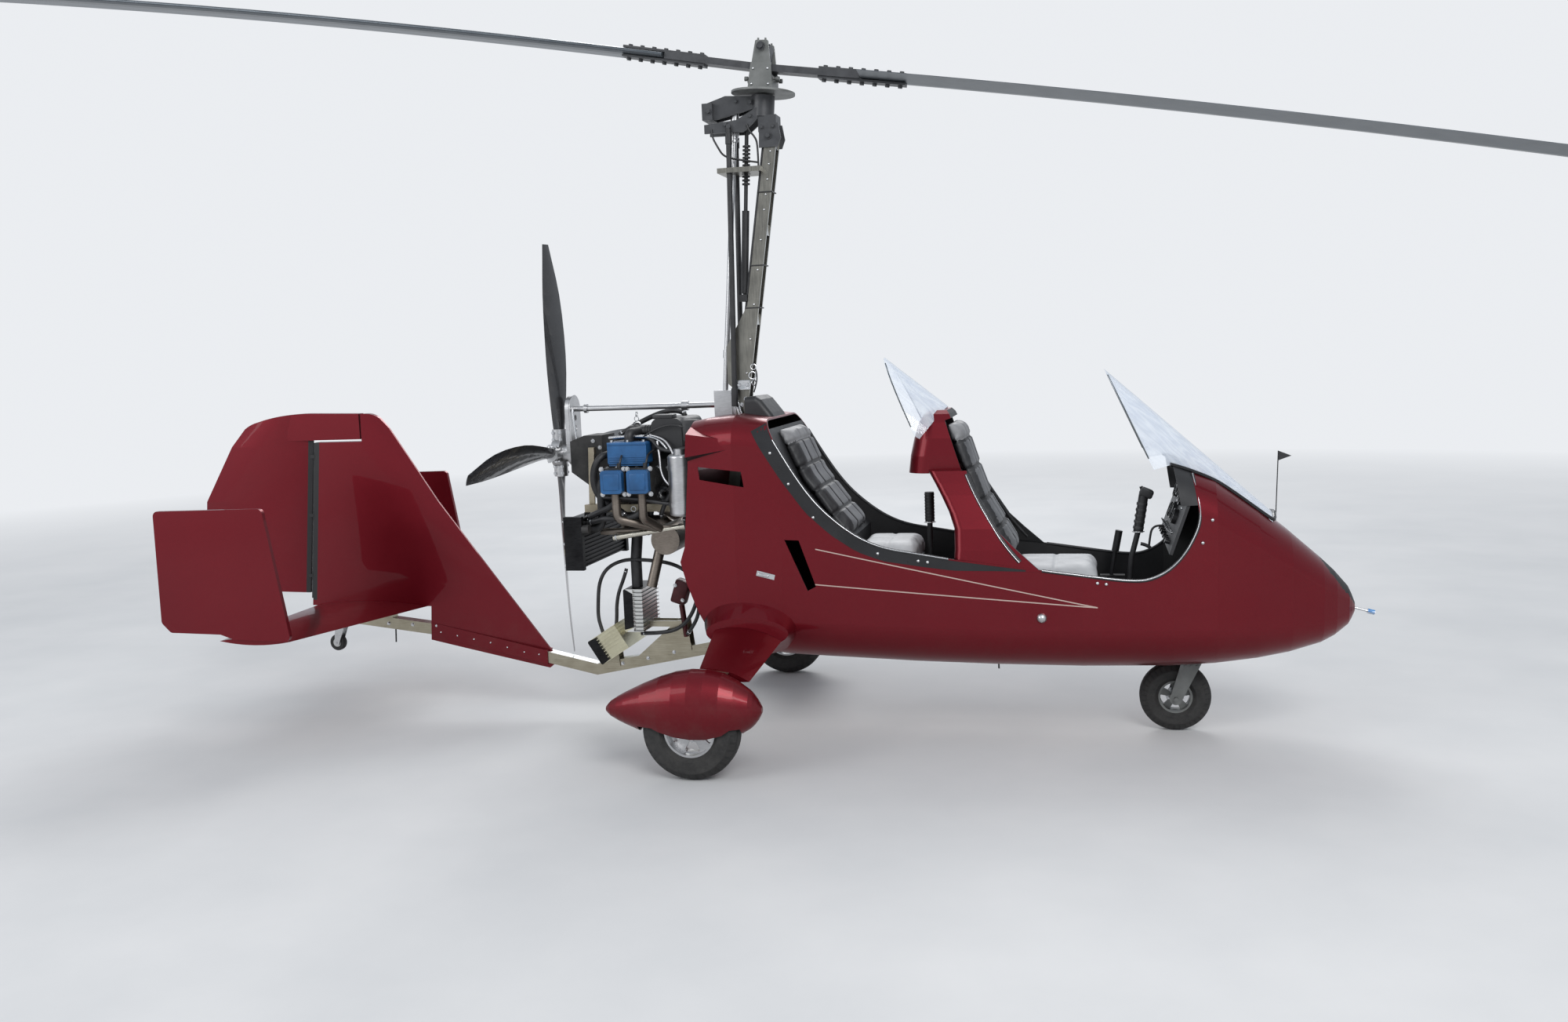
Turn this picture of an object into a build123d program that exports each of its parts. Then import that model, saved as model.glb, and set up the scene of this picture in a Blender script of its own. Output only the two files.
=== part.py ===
"""Two-seat open gyrocopter, tandem seats, pusher engine, teetering two-blade rotor.

Row frame: +X forward, +Y to port, +Z up, millimetres. The origin lies on the ground
under the rotor's teeter bolt. Every sub-part is one STEP file in parts/.
"""
from build123d import *
from math import cos, radians, sin
import os

# Shared sizes and clearances
SKIN = 6                    # composite fuselage wall
SEAT_GAP = 0.3              # between pieces of one body that rest on each other
RUN_GAP = 8                 # beside a moving piece
BORE_PLAY = 0.05            # radial play of a running shaft

# Wheels
MAIN_X, MAIN_Y = -188, 804
MAIN_R, MAIN_WIDTH, MAIN_RIM_R, MAIN_AXLE_R = 186, 110, 98, 12
AXLE_BOSS_R = 20
RIM_WINDOWS = 5
NOSE_X, NOSE_R, NOSE_WIDTH, NOSE_RIM_R, NOSE_AXLE_R = 1585, 138, 84, 66, 9
TAIL_X, TAIL_Z, TAIL_R, TAIL_WIDTH, TAIL_AXLE_R = -2140, 306, 38, 28, 5

# Fuselage: outside stations from the shell's rear edge to the nose tip
# x, half width, belly z, top z, belly corner radius, top corner radius
STATIONS = [
    (-372, 298, 440, 1284, 120, 110),
    (-120, 338, 356, 1318, 150, 110),
    (260, 352, 326, 1250, 165, 110),
    (900, 352, 304, 1120, 170, 110),
    (1560, 322, 302, 1098, 170, 150),
    (1880, 232, 322, 905, 140, 150),
    (2120, 132, 372, 700, 100, 110),
    (2222, 56, 436, 588, 50, 50),
    (2248, 16, 484, 526, 14, 14),
]
HULL_STEPS = 2              # lofted sections from one station to the next

# Rear end in side view: the shell's open edge, and the bent firewall inside it: x, z
REAR_EDGE = [(-304, 1450), (-304, 1280), (-313, 1109), (-342, 793), (-365, 729), (-340, 640), (-299, 537),
             (-269, 473), (-235, 380), (-215, 200)]
FIREWALL_X = -304
FIREWALL = [(FIREWALL_X, 1450), (FIREWALL_X, 560), (-262, 473), (-228, 380), (-208, 200)]

# Cooling duct and air outlet through the shell's sides: x, z
DUCT = [(-268, 1118), (-84, 1098), (-74, 1036), (-262, 1066)]
VENT = [(84, 826), (142, 824), (206, 640), (172, 622)]

# Cockpit rim in side view, from the rear fairing's top down to the sill: x, z
REAR_RIM = [(-30, 1345), (0, 1318), (50, 1224), (124, 1099), (213, 974), (304, 890), (395, 828), (486, 793)]
SILL_REAR_X, SILL_REAR_Z = 733, 750
SILL_FRONT_X, SILL_FRONT_Z = 1430, 660
SILL_BEND_X, SILL_BEND_Z = 1558, 715
SILL_END_X, SILL_END_Z = 1658, 888
HOOD_X, HOOD_Z = 1625, 1090
HOOD_LONG = 62

# Seat pod between the cockpits: z, rear x, front x, half width
POD = [
    (700, 742, 1075, 351),
    (860, 748, 905, 322),
    (985, 694, 825, 268),
    (1075, 640, 792, 215),
]
POD_STEPS = 2
POD_WALL = 12
# Head fairing above it, on the same columns
HEAD_ROWS = [
    (1062, 552, 800, 168),
    (1130, 561, 780, 170),
    (1200, 577, 760, 166),
    (1262, 597, 735, 152),
    (1294, 618, 722, 130),
    (1308, 640, 710, 104),
]


# Seats: cushion x0, x1, z0, z1; back pad's rear line from its foot to its top: x, z
SEAT_HALF, PAD_THICK = 205, 48
FRONT_CUSHION = (948, 1300, 590, 700)
REAR_CUSHION = (335, 585, 680, 790)
FRONT_BACK = [(952, 706), (905, 788), (822, 925), (768, 1075), (706, 1270)]
REAR_BACK = [(318, 800), (250, 872), (125, 1040), (30, 1262)]
PANEL_THICK = 10
# Roll behind the rear seat in side view, from the mast's foot forward: x, z
SHOULDER = [(-115, 1290), (-115, 1383), (-70, 1386), (-48, 1372), (-6, 1318), (30, 1262.4), (16, 1245), (-20, 1290)]
SHOULDER_HALF = 120

# Windscreens: crown line ends and rear edge base in side view, half width and drop at both ends
SCREEN_THICK = 4
FRONT_SCREEN = dict(low=(1952, 872), high=(1319, 1448), base=(1570, 905), half=(262, 335), drop=(165, 330))
REAR_SCREEN = dict(low=(704, 1318), high=(451, 1523), base=(590, 1215), half=(195, 235), drop=(150, 175))

# Mast and rotor head
MAST_FOOT, MAST_TOP = (-309, 290), (20, 2430)
MAST_CHORD, MAST_PLATE = 50, 8
TEETER_Z = 2775
SPIN_TILT = 4.5             # rotor shaft leans forward, degrees
REST_TEETER = 5.8           # parked blades lie further nose-down, degrees
DISC_R, DISC_THICK, DISC_DROP = 130, 8, 168
CHEEK_GAP, CHEEK_THICK = 47, 10
UNDERSLING = 74             # teeter bolt above the hub bar's middle
TEETER_BOLT_R = 10
STOP_Z = -119               # teeter stop bolts under the hub bar, from the teeter bolt
SPINDLE_R, BEARING_R = 22, 48
ROD_Y = 58                  # control push rods

# Rotor
ROTOR_R = 4250
BLADE_CHORD, BLADE_THICK, BLADE_ROOT = 205, 26, 414
BLADE_BEND_R = 60000        # the parked blades droop along this arc
PRECONE = 1.0               # degrees
HUB_BAR_HALF, HUB_BAR_WIDTH = 408, 72
STRAP_IN, STRAP_OUT, STRAP_THICK = 238, 592, 9
STRAP_REST = BLADE_THICK / 2 + 2 * SEAT_GAP
HUB_BAR_THICK = 2 * (STRAP_REST - SEAT_GAP)

# Propeller
PROP_X, PROP_Z, PROP_R, PROP_BLADES = -985, 1164, 890, 4
PROP_HUB_R, PROP_HUB_LONG, PROP_SHAFT_R = 64, 70, 18
# radius, chord, thickness, pitch in degrees, sweep of the chord's middle
PROP_STATIONS = [(60, 44, 40, 46, 0), (190, 74, 22, 38, 8), (420, 112, 14, 27, 14), (680, 104, 9, 20, 0),
                 (PROP_R, 40, 4, 16, -30)]
PROP_STEPS = 3

# Engine
CASE_X0, CASE_X1, CASE_HALF, CASE_Z0, CASE_Z1 = -760, -450, 98, 950, 1170
CYL_X, CYL_Z, CYL_R, CYL_OUT = (-652, -538), 1058, 52, 208
HEAD_OUT, COVER_OUT = 252, 284
GEARBOX_REAR = -905
SHAFT_Z = 1352              # pre-rotator cross shaft
PULLEY_R, BELT_THICK = 50, 6
RISER_FOOT, RISER_TOP = (-226, 1410), (-138, 2490)
TANK_AT = (-372, -205, 1036)
TURBO_Y, TURBO_Z = 62, 852
CHARGE_X, CHARGE_TOP = (-690, -604), 580
FIN_PLATE = 3               # cooler fin thickness

# Keel tube in side view, tail end first: x, z
KEEL = [(-2150, 440), (-1640, 378), (-860, 206), (-200, 337)]
KEEL_HIGH, KEEL_WIDE, KEEL_WALL = 50, 50, 4
MAST_SPREAD = KEEL_WIDE + 2 * SEAT_GAP

# Tail
FIN_THICK, HINGE_THICK, HINGE_GAP = 58, 44, 10
HINGE_TOP, HINGE_FOOT = (-2172, 1250), (-2255, 480)
HINGES, HINGE_PIN_R = (620, 900, 1170), 4
HORN_X, HORN_Z = -1935, 1245
PLATE_Y, PLATE_THICK = 773, 18
STAB_Z, STAB_THICK = 484, 44
SURFACE_WALL = 4            # skins of the hollow tail surfaces

# Gear
LEG_ROOT_Y, LEG_END_Y = 300, 722
SPAT_WALL = 5
# Wheel fairing: x, half width, half height, middle z
SPAT = [(-520, 10, 10, 257), (-500, 26, 30, 259), (-440, 50, 62, 262), (-300, 88, 118, 268), (-180, 102, 142, 272),
        (-60, 94, 128, 272), (40, 54, 72, 268), (70, 30, 38, 267), (84, 12, 12, 267)]
SPAT_STEPS = 2
STEER_X, STEER_TUBE_R = 1645, 20
FORK_BLADE, FORK_GAP = 8, 9
TOW_PIN_LONG = 18           # free ends of the nose axle, where a tow bar hooks on


def box(x0, x1, y0, y1, z0, z1):
    """Box between two corners."""
    at = Pos((x0 + x1) / 2, (y0 + y1) / 2, (z0 + z1) / 2)
    return at * Box(abs(x1 - x0), abs(y1 - y0), abs(z1 - z0))


def rod(start, end, radius):
    """Round bar from one point to another."""
    run = Vector(*end) - Vector(*start)
    place = Plane(origin=start, z_dir=run)
    return place * Cylinder(radius, run.length, align=(Align.CENTER, Align.CENTER, Align.MIN))


def bent_rod(points, radius, bend):
    """Round bar along straight runs joined by arcs."""
    path = FilletPolyline(*points, radius=bend)
    return sweep(Plane(origin=path @ 0, z_dir=path % 0) * Circle(radius), path=path)


def side_face(points):
    """Flat face from a side-view outline of x, z points."""
    return make_face(Polyline(*points, close=True))


def side_slab(outline, y0, y1):
    """Side-view face made solid between two y values."""
    face = outline.face()
    if face.normal_at().Z < 0:
        face = -face
    return extrude(Plane.XZ.offset(-y1) * face, amount=y1 - y0)


def both_sides(solid):
    """The piece and its mirror image on the other side."""
    return solid + mirror(solid, about=Plane.XZ)


def shifted(points, side):
    """The same open line moved sideways, for a pad or panel of even thickness."""
    moved = []
    for i, point in enumerate(points):
        a = Vector(*points[max(i - 1, 0)])
        b = Vector(*points[min(i + 1, len(points) - 1)])
        run = (b - a).normalized()
        moved.append((point[0] + run.Y * side, point[1] - run.X * side))
    return moved


def lens(chord, thick):
    """Thin symmetric section on two arcs, middle at the origin."""
    top = ThreePointArc((-chord / 2, 0), (0, thick / 2), (chord / 2, 0))
    return make_face(top + ThreePointArc((chord / 2, 0), (0, -thick / 2), (-chord / 2, 0)))


# Fuselage

def smooth_rows(rows, steps):
    """A table's rows with others between them, on smooth curves over its first column."""
    out = [list(rows[0])]
    for i in range(len(rows) - 1):
        a, b = rows[i], rows[i + 1]
        before, after = rows[max(i - 1, 0)], rows[min(i + 2, len(rows) - 1)]
        span = b[0] - a[0]
        for k in range(1, steps + 1):
            t = k / steps
            row = [a[0] + span * t]
            for j in range(1, len(a)):
                rise_a = (b[j] - before[j]) / (b[0] - before[0]) * span
                rise_b = (after[j] - a[j]) / (after[0] - a[0]) * span
                row.append((1 + 2 * t) * (1 - t) ** 2 * a[j] + t * (1 - t) ** 2 * rise_a
                           + t * t * (3 - 2 * t) * b[j] + t * t * (t - 1) * rise_b)
            out.append(row)
    return out


def hull_section(station, inset):
    """One fuselage cross-section, inset from the outside."""
    x, half, low, high, r_low, r_high = station
    wide, tall = half - inset, (high - low) / 2 - inset
    flat = Rectangle(2 * wide, 2 * tall)
    flat = fillet(flat.vertices().sort_by(Axis.Y)[:2], min(max(r_low - inset, 6), 0.94 * wide, 0.94 * tall))
    flat = fillet(flat.vertices().sort_by(Axis.Y)[-2:], min(max(r_high - inset, 6), 0.94 * wide, 0.94 * tall))
    return Plane.YZ.offset(x) * Pos(0, (low + high) / 2) * flat


def hull(inset):
    """Closed fuselage form, inset from the outside."""
    rows = smooth_rows(STATIONS, HULL_STEPS)
    rows[0][0] += inset
    rows[-1][0] -= inset
    return loft([hull_section(row, inset) for row in rows], ruled=True)


def cockpit_cut():
    """Side-view area above the rims that opens both cockpits."""
    line = Polyline(*REAR_RIM, (SILL_REAR_X, SILL_REAR_Z), (SILL_FRONT_X, SILL_FRONT_Z))
    curve = ThreePointArc(line @ 1, (SILL_BEND_X, SILL_BEND_Z), (SILL_END_X, SILL_END_Z))
    rest = Polyline((SILL_END_X, SILL_END_Z), (HOOD_X, HOOD_Z), (HOOD_X, 1500), (-30, 1500), (-30, 1345))
    return side_slab(make_face(line + curve + rest), -500, 500)


def leg(grow):
    """Wide flat starboard leg from inside the fuselage down to the wheel."""
    faces = []
    for y, x, z, chord, thick, pitch in ((LEG_ROOT_Y, -62, 478, 300, 62, 8), (LEG_END_Y, -78, 372, 196, 34, 14)):
        face = Pos(x, z) * Rot(0, 0, -pitch) * lens(chord + 2 * grow, thick + 2 * grow)
        faces.append(Plane.XZ.offset(y) * face)
    return loft(faces, ruled=True)


def leg_blister():
    """Flared skin round the leg's root."""
    wide = Plane.XZ.offset(LEG_ROOT_Y) * Pos(-70, 475) * Ellipse(205, 128)
    slim = Plane.XZ.offset(404) * Pos(-70, 462) * Ellipse(168, 60)
    return loft([wide, slim], ruled=True)


def mast_axis_x(z):
    """X of the mast's centre line at a height."""
    slope = (MAST_TOP[0] - MAST_FOOT[0]) / (MAST_TOP[1] - MAST_FOOT[1])
    return MAST_FOOT[0] + slope * (z - MAST_FOOT[1])


def mast_block(half_chord, half_wide):
    """Leaning block along the mast."""
    (x0, z0), (x1, z1) = MAST_FOOT, MAST_TOP
    pts = [(x0 - half_chord, z0), (x0 + half_chord, z0), (x1 + half_chord, z1), (x1 - half_chord, z1)]
    return side_slab(side_face(pts), -half_wide, half_wide)


def keel_line(grow):
    """Side-view outline of the keel tube, grown on all sides."""
    high = KEEL_HIGH / 2 + grow
    return make_face(Polyline(*shifted(KEEL, -high), *reversed(shifted(KEEL, high)), close=True))


def scoop():
    """Starboard air scoop at the shell's rear edge, running out forwards into the side."""
    rear = Plane.YZ.offset(-372) * make_face(Polyline((-270, 1290), (-345, 1262), (-352, 1150), (-290, 1120), close=True))
    front = Plane.YZ.offset(-80) * make_face(Polyline((-270, 1225), (-318, 1215), (-330, 1195), (-290, 1180),
                                                      close=True))
    return loft([rear, front], ruled=True)


def fuselage():
    """Hollow composite shell with both cockpits cut open and a firewall at its rear."""
    blister = both_sides(leg_blister() - leg(1) + scoop()) - hull(0)
    behind = side_slab(side_face(REAR_EDGE + [(-600, 200), (-600, 1450)]), -500, 500)
    wall = side_slab(side_face(FIREWALL + list(reversed(shifted(FIREWALL, -SKIN)))), -500, 500)
    openings = side_slab(side_face(DUCT), -500, -250) + side_slab(side_face(VENT), -500, -250)
    shell = hull(0) + blister - (hull(SKIN) - wall) - behind - cockpit_cut() - both_sides(leg(1) + openings)
    steer_hole = Pos(STEER_X, 0, 300) * Cylinder(STEER_TUBE_R + RUN_GAP, 60)
    mast_slot = mast_block(MAST_CHORD / 2 + 5, MAST_SPREAD / 2 + MAST_PLATE + 5)
    keel_slot = side_slab(keel_line(1), -KEEL_WIDE / 2 - 1, KEEL_WIDE / 2 + 1)
    return shell - steer_hole - mast_slot - keel_slot


def pod_section(z, x0, x1, half, corner):
    """Level section of the seat pod or head fairing, round at its rear corners."""
    flat = Rectangle(x1 - x0, 2 * half)
    flat = fillet(flat.vertices().sort_by(Axis.X)[:2], min(corner, 0.45 * (x1 - x0)))
    return Plane.XY.offset(z) * Pos((x0 + x1) / 2, 0) * flat


def pad_strip(near, far):
    """Strip in side view behind the front seat's back pad, between two distances from it."""
    return side_face(shifted(FRONT_BACK, -near) + list(reversed(shifted(FRONT_BACK, -far))))


def head_form(grow):
    """Head fairing above the seat pod, grown on all sides."""
    rows = [list(row) for row in HEAD_ROWS]
    rows[0][0] -= grow
    rows[-1][0] += grow
    return loft([pod_section(z, rear - grow, front + grow, half + grow, 80) for z, rear, front, half in rows],
                ruled=True)


def seat_pod():
    """Front seat's back shell between the cockpits, with a pocket for the pad."""
    rows = smooth_rows(POD, POD_STEPS)
    outer = loft([pod_section(z, rear, front, half, 34) for z, rear, front, half in rows], ruled=True)
    inner = loft([pod_section(z, rear + POD_WALL, front + 200, half - POD_WALL, 20)
                  for z, rear, front, half in rows], ruled=True)
    lid = box(600, 900, -400, 400, POD[-1][0] - POD_WALL, POD[-1][0] + 300)
    lid -= side_slab(pad_strip(SEAT_GAP, -400), -500, 500)
    back = side_slab(pad_strip(SEAT_GAP, SEAT_GAP + POD_WALL), -500, 500)
    shell = outer - (inner - lid - back)
    hollow = head_form(0) - head_form(-POD_WALL) - side_slab(pad_strip(SEAT_GAP, -400), -500, 500)
    return shell + hollow - (hull(-SEAT_GAP) - cockpit_cut())


def glare_hood():
    """Black strip of cowl above the instrument panel."""
    strip = hull(0) - hull(SKIN)
    slope = (SILL_END_X - HOOD_X) * 150 / (HOOD_Z - SILL_END_Z)
    front = [(HOOD_X + slope - SEAT_GAP, HOOD_Z - 150), (HOOD_X - SEAT_GAP, HOOD_Z), (HOOD_X - SEAT_GAP, 1200)]
    rear = [(x - HOOD_LONG, z) for x, z in reversed(front)]
    return strip & side_slab(side_face(front + rear), -400, 400)


def instrument_panel():
    """Tilted panel with dials, inside the cowl."""
    rear = [(1545, 760), (1648, 1052)]
    face = side_face(rear + list(reversed(shifted(rear, 12))))
    panel = side_slab(face, -400, 400) & hull(SKIN + SEAT_GAP)
    run = Vector(rear[1][0] - rear[0][0], 0, rear[1][1] - rear[0][1]).normalized()
    out = Vector(-run.Z, 0, run.X)
    for across, up, r in ((-150, 210, 40), (-55, 225, 38), (45, 225, 38), (140, 210, 40),
                          (-110, 120, 30), (0, 130, 34), (110, 120, 30)):
        centre = Vector(rear[0][0], across, rear[0][1]) + run * up
        dial = Plane(origin=centre, z_dir=out) * Cylinder(r, 26)
        panel += dial
    return panel


def cockpit_liner():
    """Seat boxes, floor boards and the bulkhead behind the rear seat."""
    x0, x1, z0, z1 = FRONT_CUSHION
    front = box(x0 - 70, x1 - 30, -260, 260, 280, z0 - SEAT_GAP) - box(x0 - 58, x1 - 42, -248, 248, 200, z0 - 12)
    x0, x1, z0, z1 = REAR_CUSHION
    rear = box(x0 - 60, x1 - 20, -260, 260, 280, z0 - SEAT_GAP) - box(x0 - 48, x1 - 32, -248, 248, 200, z0 - 12)
    line = [(REAR_BACK[0][0], 300)] + REAR_BACK
    bulkhead = side_face(shifted(line, -SEAT_GAP) + list(reversed(shifted(line, -SEAT_GAP - PANEL_THICK))))
    inside = (front + rear + side_slab(bulkhead, -400, 400)) & hull(SKIN + SEAT_GAP)
    return inside + shoulder()


def shoulder():
    """Black roll of the rear bulkhead that rises over the shell to the mast."""
    block = side_slab(side_face(SHOULDER), -SHOULDER_HALF, SHOULDER_HALF)
    block = fillet(block.edges().filter_by(Axis.Y, reverse=True).group_by(Axis.Z)[-3:], 22)
    return block - (hull(-SEAT_GAP) - Pos(SEAT_GAP, 0, SEAT_GAP) * cockpit_cut())


def seat_cushions():
    """The two sitting pads."""
    pads = []
    for x0, x1, z0, z1 in (FRONT_CUSHION, REAR_CUSHION):
        pad = box(x0, x1, -SEAT_HALF, SEAT_HALF, z0, z1)
        pads.append(fillet(pad.edges().filter_by(Axis.Z), 45))
    return pads[0] + pads[1]


def seat_backs():
    """The two back pads."""
    pads = []
    for line, half in ((FRONT_BACK, 165), (REAR_BACK, 205)):
        face = side_face(line + list(reversed(shifted(line, PAD_THICK))))
        pads.append(side_slab(face, -half, half))
    return pads[0] + pads[1]


def windscreen(spec):
    """Curved clear sheet between two arches, trimmed along its slanted rear edge."""
    (x0, z0), (x1, z1) = spec["low"], spec["high"]
    faces = []
    for (x, z), wide, deep in (((x0, z0), spec["half"][0], spec["drop"][0]),
                               ((x1, z1), spec["half"][1], spec["drop"][1])):
        place = Plane(origin=(x, 0, z), x_dir=(0, 1, 0), z_dir=(x1 - x0, 0, z1 - z0))
        outer = ThreePointArc((-wide, deep), (0, 0), (wide, deep))
        inner = ThreePointArc((-wide + SCREEN_THICK, deep), (0, SCREEN_THICK), (wide - SCREEN_THICK, deep))
        ends = Line(outer @ 0, inner @ 0) + Line(outer @ 1, inner @ 1)
        faces.append(place * make_face(outer + inner + ends))
    sheet = loft(faces, ruled=True)
    run = Vector(spec["base"][0] - x1, spec["base"][1] - z1).normalized()
    top = (x1 - run.X * 60, z1 - run.Y * 60)
    foot = (x1 + run.X * 900, z1 + run.Y * 900)
    behind = side_face([top, foot, (foot[0] - 900, foot[1]), (top[0] - 900, top[1])])
    return sheet - side_slab(behind, -600, 600)


def windscreens():
    """Both clear screens, trimmed to the cowl and to the head fairing that they stand on."""
    front = windscreen(FRONT_SCREEN) - hull(-SEAT_GAP)
    rear = windscreen(REAR_SCREEN) - head_form(SEAT_GAP) - hull(-SEAT_GAP)
    return Part([front.solids().sort_by(Axis.Z)[-1], rear.solids().sort_by(Axis.Z)[-1]])


def cockpit_controls():
    """Two sticks, the throttle lever and the rudder pedals."""
    front = bent_rod([(1385, 0, 290), (1420, 0, 700), (1445, 0, 800)], 11, 60) + rod((1445, 0, 800), (1468, 0, 950), 19)
    rear = rod((620, 0, 290), (620, 0, 850), 11) + rod((620, 0, 850), (620, 0, 970), 19)
    throttle = rod((1340, 215, 560), (1362, 215, 690), 8) + rod((1362, 215, 690), (1378, 215, 775), 15)
    quadrant = box(1300, 1400, 195, 235, 290, 590)
    bar = rod((1800, -300, 420), (1800, 300, 420), 11)
    pedals = both_sides(box(1788, 1800, 60, 140, 415, 540))
    return (front + rear + throttle + quadrant + bar + pedals) & hull(SKIN + SEAT_GAP)


# Mast and rotor head

HEAD = Plane(origin=(0, 0, TEETER_Z), x_dir=(cos(radians(SPIN_TILT)), 0, -sin(radians(SPIN_TILT))),
             z_dir=(sin(radians(SPIN_TILT)), 0, cos(radians(SPIN_TILT))))
REST_TILT = SPIN_TILT + REST_TEETER
ROTOR = Plane(origin=(0, 0, TEETER_Z), x_dir=(cos(radians(REST_TILT)), 0, -sin(radians(REST_TILT))),
              z_dir=(sin(radians(REST_TILT)), 0, cos(radians(REST_TILT))))


def mast():
    """Two leaning side plates with spacer blocks, a rear gusset and the rod guide."""
    plates = mast_block(MAST_CHORD / 2, MAST_SPREAD / 2 + MAST_PLATE)
    plates = plates - mast_block(MAST_CHORD / 2 + 1, MAST_SPREAD / 2)
    for z in (380, 800, 1330, 1700, 2060, 2400):
        x = mast_axis_x(z)
        plates += box(x - 20, x + 20, -MAST_SPREAD / 2, MAST_SPREAD / 2, z - 22, z + 22)
    gusset = side_face([(mast_axis_x(1760) - 24, 1760), (-205, 1590), (-205, 1440), (mast_axis_x(1400) - 24, 1400)])
    plates += side_slab(gusset, MAST_SPREAD / 2, MAST_SPREAD / 2 + MAST_PLATE)
    plates += side_slab(gusset, -MAST_SPREAD / 2 - MAST_PLATE, -MAST_SPREAD / 2)
    guide = box(-200, mast_axis_x(2300) - 20, -ROD_Y - 20, ROD_Y + 20, 2290, 2310)
    for x, y, r in ((-153, -ROD_Y, 14), (-153, ROD_Y, 14), (-98, 0, 19), (-153.5, 0, 14)):
        guide -= Pos(x, y, 2300) * Cylinder(r, 40)
    return plates + guide


def rotor_head():
    """Bearing block, gimbal blocks and the control arms behind them."""
    block = HEAD * Pos(0, 0, -DISC_DROP - DISC_THICK - 48) * Cylinder(BEARING_R, 84)
    block -= HEAD * Pos(0, 0, -DISC_DROP - DISC_THICK - 40) * Cylinder(SPINDLE_R + BORE_PLAY, 110)
    block += box(-30, 45, -42, 42, 2446, 2512)
    cheeks = side_face([(-30, 2385), (48, 2385), (62, 2420), (52, 2478), (-26, 2490)])
    inner = MAST_SPREAD / 2 + MAST_PLATE + SEAT_GAP
    block += both_sides(side_slab(cheeks, inner, inner + 9))
    upper = side_face([(-250, 2505), (-250, 2575), (-165, 2600), (-30, 2590), (-30, 2545), (-200, 2510)])
    lower = side_face([(-255, 2455), (-255, 2490), (-120, 2500), (-30, 2545), (-30, 2500), (-90, 2452)])
    arms = both_sides(side_slab(upper, 24, 34)) + both_sides(side_slab(lower, 36, 46))
    tie = box(-258, -215, -60, 60, 2506, 2572) + both_sides(rod((-150, -62, 2475), (-150, -36, 2475), 9))
    return block + arms + tie


def control_rods():
    """Two push rods with ball ends, from the head arms down to the fairing."""
    rods = rod((-150, -ROD_Y, 2465.5), (-172, -ROD_Y, 1345), 11)
    rods += rod((-150.4, -ROD_Y, 2446), (-151.2, -ROD_Y, 2405), 14)
    rods += rod((-170.5, -ROD_Y, 1420), (-172, -ROD_Y, 1345), 14)
    return both_sides(rods)


def trim_strut():
    """Spring strut and gas cylinder in front of the rods."""
    strut = rod((-88, 0, 2470), (-126, 0, 1800), 8)
    strut += rod((-106.5, 0, 2143), (-125.5, 0, 1808), 15)
    for i in range(11):
        z = 2400 - i * 15
        strut += Pos(-88 - (2470 - z) * 38 / 670, 0, z) * Cylinder(16, 7)
    return strut + box(-140, mast_axis_x(1775) - MAST_CHORD / 2 - SEAT_GAP, -40, 40, 1775, 1802)


def rotor_tower():
    """Tapered cheeks on a solid foot, with the teeter stops and the pre-rotator disc."""
    low, step, high = -DISC_DROP, -60, 26
    outer = CHEEK_GAP + CHEEK_THICK
    cheek = side_face([(-48, low), (48, low), (38, step), (26, high), (-26, high), (-38, step)])
    cheek = fillet(cheek.vertices().group_by(Axis.Y)[-1], 6) - Circle(TEETER_BOLT_R + BORE_PLAY)
    thick = side_face([(-51, low), (51, low), (41, step), (-41, step)])
    tower = side_slab(cheek, CHEEK_GAP, outer) + side_slab(thick, CHEEK_GAP, outer + 4)
    for x in (-15, 15):
        tower += Pos(x, -CHEEK_GAP - CHEEK_THICK / 2, high + 4) * Cylinder(4, 8)
    tower = both_sides(tower)
    tower += side_slab(side_face([(-51, low), (51, low), (47, STOP_Z + 11), (-47, STOP_Z + 11)]), -outer, outer)
    for side in (-1, 1):
        for y in (-26, 26):
            tower += rod((side * 40, y, STOP_Z), (side * 62, y, STOP_Z), 5)
            tower += rod((side * 58, y, STOP_Z), (side * 72, y, STOP_Z), 9)
    tower += Pos(0, 0, low - DISC_THICK / 2) * Cylinder(DISC_R, DISC_THICK)
    tower += Pos(0, 0, low - DISC_THICK - 40) * Cylinder(SPINDLE_R, 80)
    return HEAD * tower


def hub_bar():
    """Aluminium bar between the cheeks, hung from the teeter bolt by its block."""
    arm = Pos(HUB_BAR_HALF / 2, 0, 0) * Box(HUB_BAR_HALF, HUB_BAR_WIDTH, HUB_BAR_THICK)
    block = Pos(0, 0, -UNDERSLING / 2 - 2) * Box(56, HUB_BAR_WIDTH, UNDERSLING + 36)
    bolt = Rot(90, 0, 0) * Cylinder(TEETER_BOLT_R, 2 * (CHEEK_GAP + CHEEK_THICK) + 24)
    return blade_place(1) * arm + blade_place(-1) * arm + ROTOR * (block + bolt)


def blade_place(side):
    """Frame at a blade's root: local x runs outward along the span."""
    tip = Pos(0, 0, -UNDERSLING) * Rot(0, 0, 0 if side > 0 else 180) * Rot(0, -PRECONE, 0)
    return ROTOR.location * tip


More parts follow.
